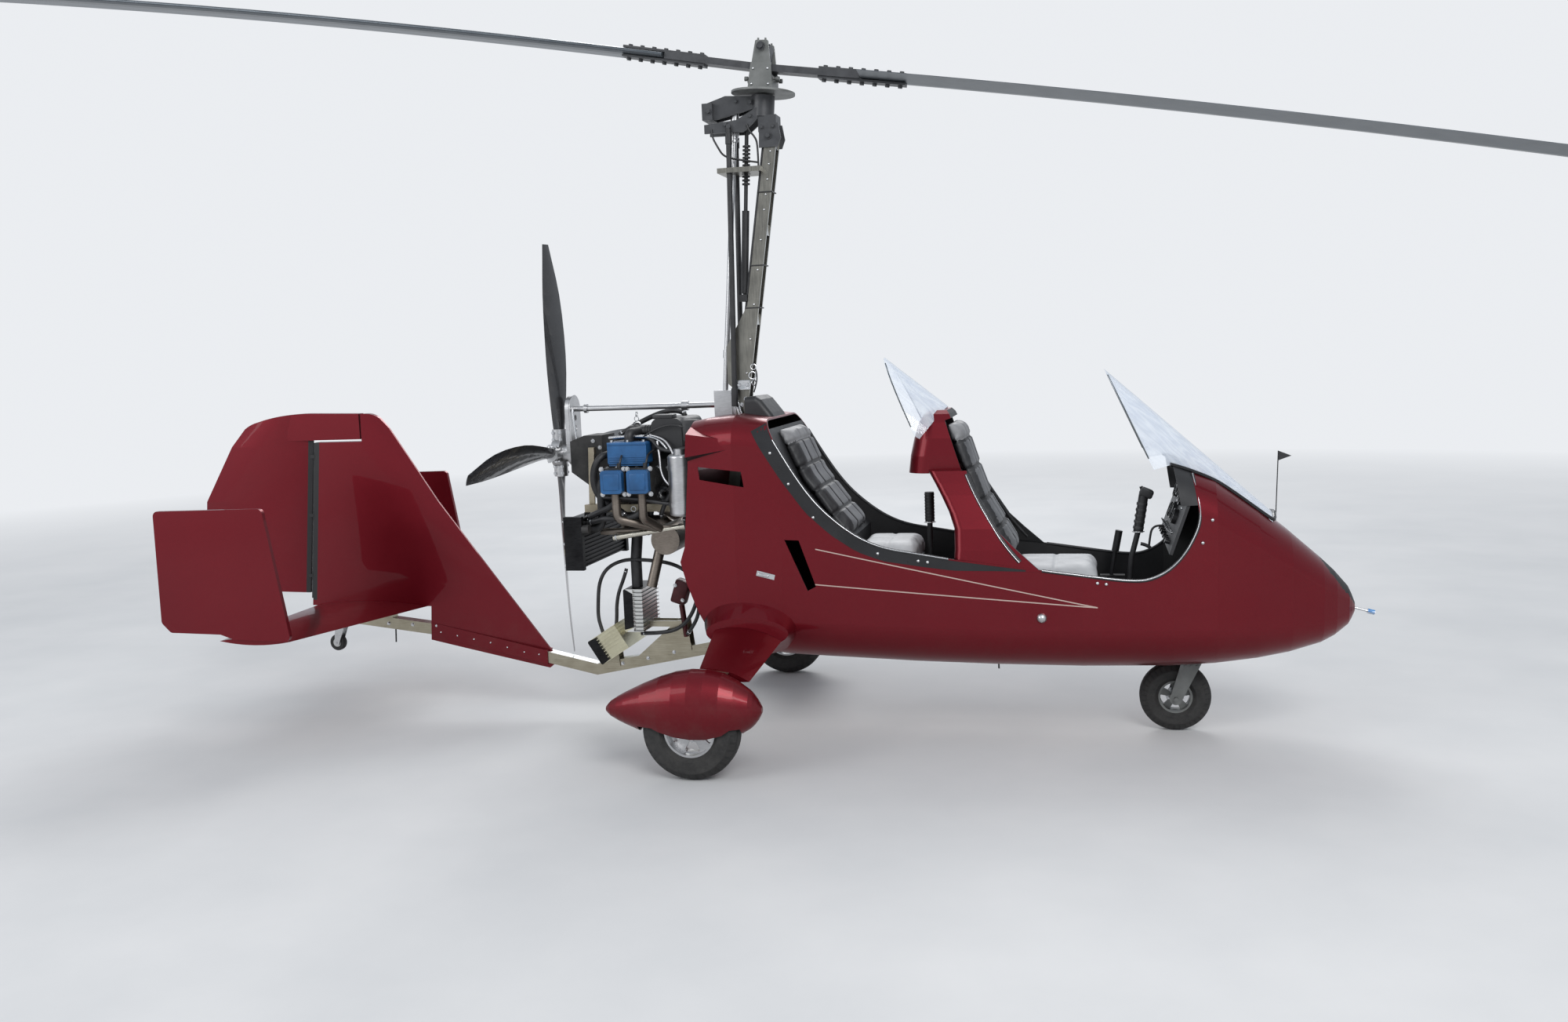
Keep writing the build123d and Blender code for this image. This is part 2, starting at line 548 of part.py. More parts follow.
def rotor_blades():
    """Two blades, each bent slightly down along an arc by its own weight."""
    half, lead, trail = BLADE_THICK / 2, 0.28 * BLADE_CHORD, -0.72 * BLADE_CHORD
    nose = ThreePointArc((lead - 8, 0.5 * half), (lead, 0), (lead - 8, -0.5 * half))
    rest = Polyline((lead - 8, -0.5 * half), (lead - 24, -0.84 * half), (0, -half), (trail, -1), (trail, 1),
                    (0, half), (lead - 24, 0.84 * half), (lead - 8, 0.5 * half))
    section = Plane.YZ.offset(BLADE_ROOT) * make_face(nose + rest)
    axis = Axis((BLADE_ROOT, 0, -BLADE_BEND_R), (0, 1, 0))
    turn = (ROTOR_R - BLADE_ROOT) / BLADE_BEND_R * 57.29578
    blade = revolve(section, axis, turn)
    return blade_place(1) * blade + blade_place(-1) * blade


def blade_straps():
    """Bolted strap pairs that join the hub bar to the blades."""
    straps = Part()
    long = STRAP_OUT - STRAP_IN
    for side in (1, -1):
        for up in (1, -1):
            z = up * (STRAP_REST + STRAP_THICK / 2)
            plate = Pos((STRAP_IN + STRAP_OUT) / 2, 0, z) * Box(long, 58, STRAP_THICK)
            for i in range(7):
                x = STRAP_IN + 22 + i * (long - 44) / 6
                plate += Pos(x, 0, z + up * 8) * Cylinder(9, 12)
            straps += blade_place(side) * plate
    return straps


# Propeller

def propeller_blade():
    """Twisted, swept blade standing up from the hub, leading edge to port and forward."""
    faces = []
    for radius, chord, thick, pitch, sweep_y in smooth_rows(PROP_STATIONS, PROP_STEPS):
        across = (sin(radians(pitch)), cos(radians(pitch)), 0)
        place = Plane(origin=(0, sweep_y, radius), x_dir=across, z_dir=(0, 0, 1))
        faces.append(place * lens(chord, thick))
    return loft(faces, ruled=True)


def propeller_blades():
    """All blades."""
    blade = propeller_blade()
    blades = Part()
    for i in range(PROP_BLADES):
        blades += Pos(PROP_X, 0, PROP_Z) * Rot(i * 360 / PROP_BLADES, 0, 0) * blade
    return blades - propeller_hub()


def propeller_hub():
    """Clamp hub with a socket for each blade, on the gearbox flange."""
    hub = Rot(0, 90, 0) * Cylinder(PROP_HUB_R, PROP_HUB_LONG * 0.55)
    for i in range(PROP_BLADES):
        hub += Rot(i * 360 / PROP_BLADES, 0, 0) * Pos(0, 0, 62) * Cylinder(30, 80)
    hub += Pos(-30, 0, 0) * Rot(0, 90, 0) * Cylinder(36, 40)
    hub += Pos(32, 0, 0) * Rot(0, 90, 0) * Cylinder(40, 34)
    hub += Pos(80, 0, 0) * Rot(0, 90, 0) * Cylinder(PROP_SHAFT_R, 80)
    return Pos(PROP_X, 0, PROP_Z) * hub


# Engine

def engine_case():
    """Crankcase with four finned cylinders and their heads."""
    case = box(CASE_X0, CASE_X1, -CASE_HALF, CASE_HALF, CASE_Z0, CASE_Z1)
    case = chamfer(case.edges().filter_by(Axis.X), 34)
    bank = Part()
    for x in CYL_X:
        bank += Pos(x, 0, CYL_Z) * Rot(90, 0, 0) * Pos(0, 0, 150) * Cylinder(42, 120)
        for i in range(6):
            y = CASE_HALF + 8 + i * 17
            bank += Pos(x, -y, CYL_Z) * Rot(90, 0, 0) * Cylinder(CYL_R, 6)
        bank += box(x - 50, x + 50, -HEAD_OUT, -CYL_OUT, CYL_Z - 54, CYL_Z + 54)
    return case + both_sides(bank)


def valve_covers():
    """Rounded covers on the cylinder heads and the ribbed intake covers above."""
    covers = Part()
    for x in CYL_X:
        cover = box(x - 46, x + 46, -COVER_OUT, -HEAD_OUT - SEAT_GAP, CYL_Z - 48, CYL_Z + 48)
        covers += fillet(cover.edges().filter_by(Axis.Y), 14)
    top = box(-690, -520, -205, -125, 1124, 1216)
    covers += fillet(top.edges().filter_by(Axis.Y), 10)
    for x in CYL_X:
        covers += Pos(x, -165, (CYL_Z + CYL_R + SEAT_GAP + 1130) / 2) * Cylinder(14, 1130 - CYL_Z - CYL_R - SEAT_GAP)
    return both_sides(covers)


def airbox():
    """Black air box and its ribbed duct over the crankcase."""
    body = box(-512, -380, -150, 150, CASE_Z1 + SEAT_GAP, 1306)
    body = fillet(body.edges().filter_by(Axis.Y).group_by(Axis.Z)[-1], 28)
    duct = Pos(-580, 0, 1236) * Rot(0, 90, 0) * Cylinder(40, 150)
    return body + duct


def gearbox():
    """Reduction gearbox between the crankcase and the propeller."""
    lower = Pos(-775, 0, 1064) * Rot(0, 90, 0) * Cylinder(84, 30)
    front = CASE_X0 - SEAT_GAP
    housing = side_face([(GEARBOX_REAR, 1084), (-790, 1000), (front, 1000), (front, 1240), (-840, 1240),
                         (GEARBOX_REAR, 1216)])
    body = side_slab(housing, -78, 78)
    boss = Pos(-914, 0, PROP_Z) * Rot(0, 90, 0) * Cylinder(PROP_SHAFT_R + 14, 28)
    bore = Pos(-900, 0, PROP_Z) * Rot(0, 90, 0) * Cylinder(PROP_SHAFT_R + BORE_PLAY, 80)
    return lower + body + boss - bore


def exhaust():
    """Silencer under the engine with its four pipes and the tail pipe."""
    can = Pos(-470, 0, 800) * Rot(90, 0, 0) * Cylinder(62, 330)
    for x in CYL_X:
        pipe = bent_rod([(x, -232, CYL_Z - 54 - SEAT_GAP), (x, -232, 900), (-480, -140, 840)], 18, 30)
        can += both_sides(pipe)
    tail = rod((-500, -120, 790), (-545, -150, 600), 22)
    cross = rod((-765, -125, 832), (-490, -125, 838), 14)
    return can + tail + cross


def engine_mount():
    """Rails under the crankcase, braced to the rear bulkhead and the gearbox."""
    front = FIREWALL_X - SEAT_GAP
    rail = box(-830, front, -140, -112, 918, CASE_Z0 - SEAT_GAP)
    brace = rod((-520, -126, 935), (front + 20, -126, 1130), 11) & box(-600, front, -200, 0, 900, 1200)
    post = side_slab(side_face([(-825, 930), (-800, 930), (-790, 1190), (-815, 1190)]), -100, -90)
    cross = box(-830, -802, -140, 140, 918, 940)
    for x in (-730, -500):
        cross += box(x - 14, x + 14, -140, 140, 925, CASE_Z0 - SEAT_GAP)
    ears = box(-815, -790, -100, -78.3, 1160, 1190)
    return both_sides(rail + brace + post + ears) + cross


def radiators():
    """Radiator behind the engine and two smaller coolers above the keel."""
    radiator = box(-860, -808, -250, 250, 705, 895)
    for i in range(12):
        z = 699 + i * (902 - 699) / 12
        radiator += box(-866, -802, -250, 250, z, z + 2 * FIN_PLATE)
    radiator += both_sides(box(-874, -794, -276, -250, 690, 914))
    radiator += box(-868, -800, -250, 250, 898, 905)
    hangers = both_sides(box(-835, -815, -136, -116, 905, 917.7))
    charge_mid = ((CHARGE_X[0] + CHARGE_X[1]) / 2, 0, (395 + CHARGE_TOP) / 2)
    charge = Pos(*charge_mid) * cooler(CHARGE_X[1] - CHARGE_X[0], CHARGE_TOP - 395, 110, 42, 12)
    return radiator + hangers + charge + OIL_PLACE * cooler(150, 118, 118, 42, 9)


def cooler(long, tall, half, tank, count):
    """Cooler about its own middle: a tank at the rear end and fin plates on a core ahead of it."""
    block = box(-long / 2, -long / 2 + tank, -half, half, -tall / 2, tall / 2)
    block = fillet(block.edges().filter_by(Axis.Y), 8)
    block += box(-long / 2 + tank / 2, long / 2 - 6, -half + 12, half - 12, -tall / 2 + 2, tall / 2 - 2)
    for i in range(count):
        z = -tall / 2 + i * (tall - FIN_PLATE) / (count - 1)
        block += box(-long / 2 + tank / 2, long / 2, -half, half, z, z + FIN_PLATE)
    return block


OIL_PLACE = Pos(-768, 0, 338) * Rot(0, -32, 0)


def oil_cooler(grow):
    """Plain block round the tilted oil cooler low above the keel, for cuts."""
    return OIL_PLACE * Box(150 + 2 * grow, 236 + 2 * grow, 118 + 2 * grow)


def cooling_hoses():
    """Hoses between the engine, the radiator and the coolers."""
    down = bent_rod([(-640, -34, CASE_Z0 - SEAT_GAP), (-640, -34, 790), (-650, -34, 700),
                     (-650, -34, CHARGE_TOP + SEAT_GAP)], 24, 60)
    loop = bent_rod([(-800 + SEAT_GAP, -160, 850), (-745, -160, 850), (-745, -160, 1060),
                     (-745, -CASE_HALF - SEAT_GAP, 1060)], 18, 40)
    return down + loop


def belt_slot(radius, x0, x1):
    """Long round-ended form round the propeller shaft and the pre-rotator shaft."""
    slot = SlotCenterToCenter(SHAFT_Z - PROP_Z, 2 * radius)
    place = Plane.YZ.offset(x0) * Pos(0, (SHAFT_Z + PROP_Z) / 2) * Rot(0, 0, 90)
    return extrude(place * slot, amount=x1 - x0)


def prerotator_drive():
    """Belt drive on the gearbox, cross shaft, bevel box and the shaft up the mast."""
    front = GEARBOX_REAR - SEAT_GAP
    belt = belt_slot(PULLEY_R + BELT_THICK, front - 25, front - 7) - belt_slot(PULLEY_R, front - 40, front)
    frame = belt_slot(PULLEY_R + BELT_THICK + 4, front - 4, front)
    for z in (PROP_Z, SHAFT_Z):
        disc = Pos(front - 16, 0, z) * Rot(0, 90, 0) * Cylinder(PULLEY_R, 18)
        groove = Pos(front - 16, 0, z) * Rot(0, 90, 0) * (Cylinder(PULLEY_R - 10, 8) - Cylinder(PULLEY_R - 24, 8))
        frame += disc - Pos(-8, 0, 0) * groove + Pos(front - 4, 0, z) * Rot(0, 90, 0) * Cylinder(PULLEY_R - 14, 8)
    for z in range(int(PROP_Z) + 60, int(SHAFT_Z) - 30, 45):
        frame -= Pos(front, 0, z) * Rot(0, 90, 0) * Cylinder(13, 20)
    frame -= Pos(front, 0, PROP_Z) * Rot(0, 90, 0) * Cylinder(PROP_SHAFT_R + 14 + SEAT_GAP, 80)
    shaft = rod((front - 20, 0, SHAFT_Z), (-262, 0, SHAFT_Z), 12)
    joints = rod((-420, 0, SHAFT_Z), (-392, 0, SHAFT_Z), 20) + rod((-860, 0, SHAFT_Z), (-846, 0, SHAFT_Z), 19)
    bevel = box(-268, -192, -34, 34, 1290, SHAFT_Z + 60) - hull(-SEAT_GAP)
    return frame + belt + shaft + joints + bevel + riser()


def riser():
    """Pre-rotator shaft up behind the mast, with its coupling, ribbed boot and pinion housing."""
    (x0, z0), (x1, z1) = RISER_FOOT, RISER_TOP
    slope = (x1 - x0) / (z1 - z0)
    shaft = rod((x0, 0, z0), (x1, 0, z1), 11)
    for z, long, radius in ((1545, 34, 15), (2418, 72, 13), (2490, 96, 17)):
        shaft += rod((x0 + slope * (z - z0), 0, z), (x0 + slope * (z + long - z0), 0, z + long), radius)
    for i, radius in enumerate((19, 16, 21, 17, 19)):
        z = 2424 + 14 * i
        shaft += Pos(x0 + slope * (z - z0), 0, z) * Cylinder(radius, 7)
    return shaft


def oil_tank():
    """Round dry-sump tank on two clips ahead of the engine, with its filler cap."""
    tank = fillet(Cylinder(55, 255).edges(), 14)
    tank += Pos(0, -12, 135) * Cylinder(26, 30)
    clips = Part()
    reach = FIREWALL_X - SEAT_GAP - TANK_AT[0]
    for z in (-80, 70):
        clips += Pos(reach / 2, 0, z) * Box(reach, 40, 16) + Pos(0, 0, z) * Cylinder(58, 16)
    return Pos(*TANK_AT) * (tank + clips)


def intake_runners():
    """Two ribbed ducts from the air box round to the intake covers."""
    duct = bent_rod([(-512 - SEAT_GAP, -100, 1256), (-575, -100, 1256), (-606, -165, 1250),
                     (-606, -165, 1216 + SEAT_GAP)], 20, 20)
    for i in range(4):
        duct += Pos(-520 - i * 11, -100, 1256) * Rot(0, 90, 0) * Cylinder(23, 5)
    return both_sides(duct)


def turbocharger():
    """Turbine and compressor under the crankcase, on the pipe that leads to the silencer."""
    parts = [(-722, -678, 52), (-678, -650, 34), (-650, -606, 46), (-606, -540, 26)]
    unit = Part()
    for x0, x1, r in parts:
        unit += rod((x0, TURBO_Y, TURBO_Z), (x1, TURBO_Y, TURBO_Z), r)
    unit += rod((-548, TURBO_Y, TURBO_Z), (-500, TURBO_Y, 815), 26) + rod((-738, TURBO_Y, TURBO_Z),
                                                                        (-720, TURBO_Y, TURBO_Z), 28)
    unit += rod((-700, TURBO_Y, TURBO_Z - 34), (-700, TURBO_Y - 88, TURBO_Z - 34), 18)
    silencer = Pos(-470, 0, 800) * Rot(90, 0, 0) * Cylinder(62 + SEAT_GAP, 340)
    return unit - silencer - engine_mount()


# Keel and tail

def keel_tube():
    """Bent rectangular tube with the cooler gusset and the stabiliser saddle."""
    tube = side_slab(keel_line(0), -KEEL_WIDE / 2, KEEL_WIDE / 2)
    bore = side_slab(keel_line(-KEEL_WALL), -KEEL_WIDE / 2 + KEEL_WALL, KEEL_WIDE / 2 - KEEL_WALL)
    gusset = side_slab(side_face([(-700, 238), (-420, 300), (-436, 430), (-480, 430)]), -31, -25)
    gusset += box(CHARGE_X[1] + SEAT_GAP, -440, -31, -25, 402, 428)
    lug = side_slab(side_face([(-810, 212), (-750, 224), (-760, 310), (-800, 310)]), -31, -25)
    saddle = box(-2060, -1840, -24, 24, 420, STAB_Z)
    return tube - bore + both_sides(gusset + lug - oil_cooler(SEAT_GAP)) + (saddle - stabiliser_form(SEAT_GAP)
                                                                            - side_slab(keel_line(-1), -30, 30))


def foil(z, nose_x, tail_x, thick, tail_thick):
    """Level section of the fin or rudder, blunt at the hinge end."""
    mid = nose_x + (tail_x - nose_x) * 0.45
    side = ThreePointArc((nose_x, 5), (mid, thick / 2), (tail_x, tail_thick / 2))
    other = ThreePointArc((nose_x, -5), (mid, -thick / 2), (tail_x, -tail_thick / 2))
    ends = Line(side @ 0, other @ 0) + Line(side @ 1, other @ 1)
    return Plane.XY.offset(z) * make_face(side + other + ends)


def hinge_x(z):
    """X of the rudder's hinge line at a height."""
    (x1, z1), (x0, z0) = HINGE_TOP, HINGE_FOOT
    return x0 + (x1 - x0) * (z - z0) / (z1 - z0)


FIN_EDGE = [(-1052, 235), (-1076, 297), (-1302, 580), (-1580, 954), (-1750, 1240), (-1840, 1337)]


def fin():
    """Fixed fin from the keel to its rounded top, ahead of the rudder."""
    rows = ((190, -1010), (580, -1302), (954, -1580), (1400, -1868))
    body = loft([foil(z, nose, hinge_x(z) + HINGE_GAP, FIN_THICK, HINGE_THICK) for z, nose in rows], ruled=True)
    top = ThreePointArc((-1840, 1337), (-1880, 1356), (HORN_X + 10, 1358))
    rest = Polyline((HORN_X + 10, 1358), (HORN_X + 10, HORN_Z - 10), (hinge_x(HORN_Z) + HINGE_GAP, HORN_Z - 10),
                    (hinge_x(500) + HINGE_GAP, STAB_Z), (-1640, STAB_Z), (-1650, 330), (-1090, 205), FIN_EDGE[0])
    face = make_face(Polyline(*FIN_EDGE) + top + rest)
    core = loft([foil(z, nose - 80, hinge_x(z) + HINGE_GAP + 16, FIN_THICK - 2 * SURFACE_WALL,
                      HINGE_THICK - 2 * SURFACE_WALL) for z, nose in rows], ruled=True)
    hollow = core & side_slab(offset(face, -SURFACE_WALL), -60, 60)
    fairing = side_slab(keel_line(SPAT_WALL), -KEEL_WIDE / 2 - SPAT_WALL, KEEL_WIDE / 2 + SPAT_WALL)
    fairing &= box(-1645, -1090, -60, 60, 100, 600)
    keel = side_slab(keel_line(SEAT_GAP), -KEEL_WIDE / 2 - SEAT_GAP, KEEL_WIDE / 2 + SEAT_GAP)
    solid = (body & side_slab(face, -60, 60)) - (hollow - fairing) + fairing - keel - stabiliser_form(SEAT_GAP)
    for z in HINGES:
        solid += hinge_lug(z + 10, z + 20, 1) + hinge_lug(z - 20, z - 10, 1)
        solid += rod((hinge_x(z - 20), 0, z - 20), (hinge_x(z + 20), 0, z + 20), HINGE_PIN_R)
    return solid


def hinge_lug(z0, z1, side):
    """Lug from the fin (side 1) or the rudder (side -1) round the hinge line."""
    x = hinge_x((z0 + z1) / 2)
    ring = Pos(x, 0, (z0 + z1) / 2) * Cylinder(HINGE_PIN_R + 5, z1 - z0)
    return ring + box(x, x + side * (HINGE_GAP + 12), -HINGE_PIN_R - 5, HINGE_PIN_R + 5, z0, z1)


def rudder():
    """Rudder with a horn balance over the fin's top."""
    sections, core = [], []
    for z, tail in ((480, -2775), (760, -2800), (968, -2767), (1220, -2610), (1400, -2440)):
        sections.append(foil(z, hinge_x(z) - HINGE_GAP - 2, tail, HINGE_THICK + 4, 8))
        if z < 1300:
            core.append(foil(z, hinge_x(z) - HINGE_GAP - 20, tail + 60, HINGE_THICK + 4 - 2 * SURFACE_WALL, 4))
    flap = loft(sections, ruled=True)
    horn = box(-2300, HORN_X, -HINGE_THICK / 2, HINGE_THICK / 2, HORN_Z, 1367)
    edge = Polyline((hinge_x(540) - HINGE_GAP, 540), (-2740, 560), (-2795, 700), (-2767, 968), (-2600, 1235))
    edge += ThreePointArc((-2600, 1235), (-2545, 1294), (-2460, 1332))
    top = ThreePointArc((-2460, 1332), (-2330, 1358), (-2193, 1367))
    rest = Polyline((-2193, 1367), (HORN_X, 1360), (HORN_X, HORN_Z), (hinge_x(HORN_Z) - HINGE_GAP, HORN_Z),
                    (hinge_x(540) - HINGE_GAP, 540))
    face = make_face(edge + top + rest)
    hollow = side_slab(offset(face, -SURFACE_WALL - 20), -60, 60) & loft(core, ruled=True)
    solid = ((flap + horn) & side_slab(face, -60, 60)) - hollow
    for z in HINGES:
        solid += hinge_lug(z - 8, z + 8, -1)
        solid -= rod((hinge_x(z - 20), 0, z - 20), (hinge_x(z + 20), 0, z + 20), HINGE_PIN_R + BORE_PLAY)
    return solid


def stabiliser_form(grow):
    """Tapered tailplane, grown on all sides."""
    faces = []
    for y, x0, x1, thick in ((-PLATE_Y + PLATE_THICK / 2, -2190, -1872, 30), (0, -2220, -1650, STAB_THICK),
                             (PLATE_Y - PLATE_THICK / 2, -2190, -1872, 30)):
        face = Pos((x0 + x1) / 2, STAB_Z) * lens(x1 - x0 + 2 * grow, thick + 2 * grow)
        faces.append(Plane.XZ.offset(-y) * face)
    return loft(faces, ruled=True)


def stabiliser():
    """Hollow tailplane trimmed to the end plates."""
    reach = PLATE_Y - PLATE_THICK / 2 - SEAT_GAP
    core = stabiliser_form(-SURFACE_WALL) & box(-2400, -1600, -reach + 20, reach - 20, 400, 560)
    return (stabiliser_form(0) & box(-2400, -1600, -reach, reach, 400, 560)) - core


def end_plates():
    """Upright plates on the tailplane's tips."""
    outline = side_face([(-1852, 489), (-1936, 1025), (-2433, 1019), (-2440, 560), (-2400, 520), (-2170, 515),
                         (-2110, 495)])
    outline = fillet(outline.vertices(), 22)
    plate = side_slab(outline, -PLATE_Y - PLATE_THICK / 2, -PLATE_Y + PLATE_THICK / 2)
    half = PLATE_THICK / 2 - SURFACE_WALL
    return both_sides(plate - side_slab(offset(outline, -SURFACE_WALL), -PLATE_Y - half, -PLATE_Y + half))


def tail_wheel_fork():
    """Two small plates under the keel with the wheel's pin."""
    inner = TAIL_WIDTH / 2 + 3
    plate = side_face([(TAIL_X - 10, TAIL_Z - 10), (TAIL_X + 12, TAIL_Z - 10), (TAIL_X + 60, 420), (TAIL_X + 5, 420)])
    plates = both_sides(side_slab(plate, -inner - 4, -inner))
    cap = box(TAIL_X + 5, TAIL_X + 60, -inner - 4, inner + 4, 390, 420)
    pin = Pos(TAIL_X, 0, TAIL_Z) * Rot(90, 0, 0) * Cylinder(TAIL_AXLE_R, 2 * inner + 14)
    return plates + cap + pin - side_slab(keel_line(SEAT_GAP), -60, 60)


# Gear

def spat_form(inset):
    """Egg-shaped starboard wheel fairing, inset from the outside."""
    faces = []
    for x, half_y, half_z, z in smooth_rows(SPAT, SPAT_STEPS):
        if half_y > 20 or inset == 0:
            faces.append(Plane.YZ.offset(x) * Pos(-MAIN_Y, z) * Ellipse(half_y - inset, half_z - inset))
    return loft(faces, ruled=True)


def wheel_spats():
    """Hollow wheel fairings, open below for the tyre and cut for the leg."""
    slot = box(MAIN_X - MAIN_R - 12, MAIN_X + MAIN_R + 12, -MAIN_Y - MAIN_WIDTH / 2 - 12,
               -MAIN_Y + MAIN_WIDTH / 2 + 12, 60, 205)
    shell = spat_form(0) - spat_form(SPAT_WALL) - slot - leg(SEAT_GAP) - axle_plate(2)
    shell -= Pos(MAIN_X, -LEG_END_Y - 15, MAIN_R) * Rot(90, 0, 0) * Cylinder(AXLE_BOSS_R + 1, 60)
    return both_sides(shell)


def main_legs():
    """Both legs, seated on the skin of the fuselage."""
    inner = box(-400, 300, -LEG_ROOT_Y - 5, LEG_ROOT_Y + 5, 200, 700)
    return both_sides(leg(0)) - inner


def axle_plate(grow):
    """Starboard plate that carries the stub axle on the leg's end, grown on all sides."""
    outline = side_face([(-170, 395), (-60, 383), (-95, 330), (-165, 160), (-212, 160), (-212, 210)])
    if grow:
        outline = offset(outline, grow)
    return side_slab(outline, -LEG_END_Y - SEAT_GAP - 9 - grow, -LEG_END_Y - SEAT_GAP + grow)


def main_axles():
    """Axle plates on the legs' ends with the stub axles."""
    inner = LEG_END_Y + SEAT_GAP
    axle = axle_plate(0)
    axle += Pos(MAIN_X, -inner - 75, MAIN_R) * Rot(90, 0, 0) * Cylinder(MAIN_AXLE_R, 150)
    axle += Pos(MAIN_X, -inner - 14, MAIN_R) * Rot(90, 0, 0) * Cylinder(AXLE_BOSS_R, 28)
    return both_sides(axle)


def wheel(x, y, z, radius, width, rim_r, bore, hub_long):
    """Tyre with rounded shoulders and a spoked rim, axle along Y."""
    place = Plane(origin=(x, y, z), x_dir=(1, 0, 0), z_dir=(0, 1, 0))
    half = width / 2
    outline = [(rim_r, -0.72 * half), (rim_r + 14, -half), (radius - 30, -half), (radius - 6, -0.62 * half),
               (radius, -0.3 * half), (radius, 0.3 * half), (radius - 6, 0.62 * half), (radius - 30, half),
               (rim_r + 14, half), (rim_r, 0.72 * half)]
    tyre = place * revolve(Plane.XZ * make_face(Polyline(*outline, close=True)), Axis.Z)
    barrel = Cylinder(rim_r - SEAT_GAP, 1.44 * half) - Cylinder(rim_r - 8, 1.44 * half)
    disc = Cylinder(rim_r - 5, 12)
    window = make_face(Polyline((0.48 * rim_r, -0.13 * rim_r), (0.86 * rim_r, -0.34 * rim_r),
                                (0.86 * rim_r, 0.34 * rim_r), (0.48 * rim_r, 0.13 * rim_r), close=True))
    window = fillet(window.vertices(), 0.08 * rim_r)
    for i in range(RIM_WINDOWS):
        disc -= Rot(0, 0, i * 360 / RIM_WINDOWS + 90) * Pos(0, 0, -10) * extrude(window, amount=20)
    hub = Cylinder(bore + 14, hub_long)
    return tyre, place * (barrel + disc + hub - Cylinder(bore + BORE_PLAY, 2 * hub_long))


def nose_fork():
    """Steering tube, crown, two blades and the axle."""
    inner = NOSE_WIDTH / 2 + FORK_GAP
    top = NOSE_R * 2 + 7
    blade = side_face([(1606, top + 4), (1684, top + 4), (NOSE_X + 24, NOSE_R - 4), (NOSE_X - 24, NOSE_R - 4)])
    blade = blade + Pos(NOSE_X, NOSE_R) * Circle(25)
    fork = both_sides(side_slab(blade, -inner - FORK_BLADE, -inner))
    for i in range(3):
        fork += both_sides(rod((1622 + i * 22, -inner, top - 12), (1622 + i * 22, -inner - FORK_BLADE - 5, top - 12), 6))
    crown = Rectangle(78, 2 * (inner + FORK_BLADE))
    fork += Pos(STEER_X, 0, top) * extrude(fillet(crown.vertices(), 10), amount=12)
    fork += rod((STEER_X, 0, top + 6), (STEER_X, 0, 480), STEER_TUBE_R)
    half = inner + FORK_BLADE + TOW_PIN_LONG
    return fork + Pos(NOSE_X, 0, NOSE_R) * Rot(90, 0, 0) * Cylinder(NOSE_AXLE_R, 2 * half)


def nose_leg_housing():
    """Bearing tube on the cockpit floor that holds the steering tube."""
    tube = Pos(STEER_X, 0, 390) * Cylinder(34, 150)
    plate = box(STEER_X - 60, STEER_X + 60, -150, 150, 290, 330)
    solid = (tube + plate) & hull(SKIN + SEAT_GAP)
    return solid - Pos(STEER_X, 0, 390) * Cylinder(STEER_TUBE_R + BORE_PLAY, 300)


def nose_fittings():
    """Air-speed probe on the nose and the slip pennant on its wire."""
    probe = rod((2250, 0, 500), (2300, 0, 486), 5) + rod((2296, 0, 487), (2322, 0, 481), 9)
    wire = rod((1960, 0, 840), (1968, 0, 1112), 2) - hull(-SEAT_GAP)
    flag = side_slab(side_face([(1968, 1112), (2016, 1092), (1967, 1074)]), -1, 1)
    return probe, wire + flag


def write(name, shape):
    """Write one sub-part to its STEP file."""
    export_step(shape, f"parts/{name}.step")


def main():
    """Build and write every sub-part."""
    os.makedirs("parts", exist_ok=True)
    makers = [fuselage, seat_pod, glare_hood, instrument_panel, cockpit_liner, seat_cushions, seat_backs,
              windscreens, cockpit_controls, mast, rotor_head, control_rods, trim_strut, prerotator_drive,
              engine_case, valve_covers, airbox, intake_runners, gearbox, turbocharger, oil_tank, exhaust,
              engine_mount, radiators, cooling_hoses,
              keel_tube, fin, stabiliser, end_plates, tail_wheel_fork, main_legs, wheel_spats, main_axles,
              nose_leg_housing, rotor_tower, hub_bar, blade_straps, rotor_blades, propeller_hub,
              propeller_blades, rudder, nose_fork]
    for maker in makers:
        write(maker.__name__, maker())
    wheels = [("nose", NOSE_X, 0, NOSE_R, NOSE_R, NOSE_WIDTH, NOSE_RIM_R, NOSE_AXLE_R, 96),
              ("right", MAIN_X, -MAIN_Y, MAIN_R, MAIN_R, MAIN_WIDTH, MAIN_RIM_R, MAIN_AXLE_R, 100),
              ("left", MAIN_X, MAIN_Y, MAIN_R, MAIN_R, MAIN_WIDTH, MAIN_RIM_R, MAIN_AXLE_R, 100)]
    for name, x, y, z, radius, width, rim_r, bore, hub_long in wheels:
        tyre, rim = wheel(x, y, z, radius, width, rim_r, bore, hub_long)
        write(f"{name}_tyre", tyre)
        write(f"{name}_rim", rim)
    disc = Cylinder(TAIL_R, TAIL_WIDTH) - Cylinder(TAIL_AXLE_R + BORE_PLAY, TAIL_WIDTH * 2)
    rims = disc.edges().filter_by(GeomType.CIRCLE).group_by(SortBy.RADIUS)[-1]
    write("tail_wheel", Pos(TAIL_X, 0, TAIL_Z) * Rot(90, 0, 0) * fillet(rims, 8))
    probe, pennant = nose_fittings()
    write("nose_probe", probe)
    write("slip_pennant", pennant)


main()
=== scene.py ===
from math import cos, exp, hypot, pi, radians, sin

import bmesh
import bpy
from mathutils import Matrix, Vector


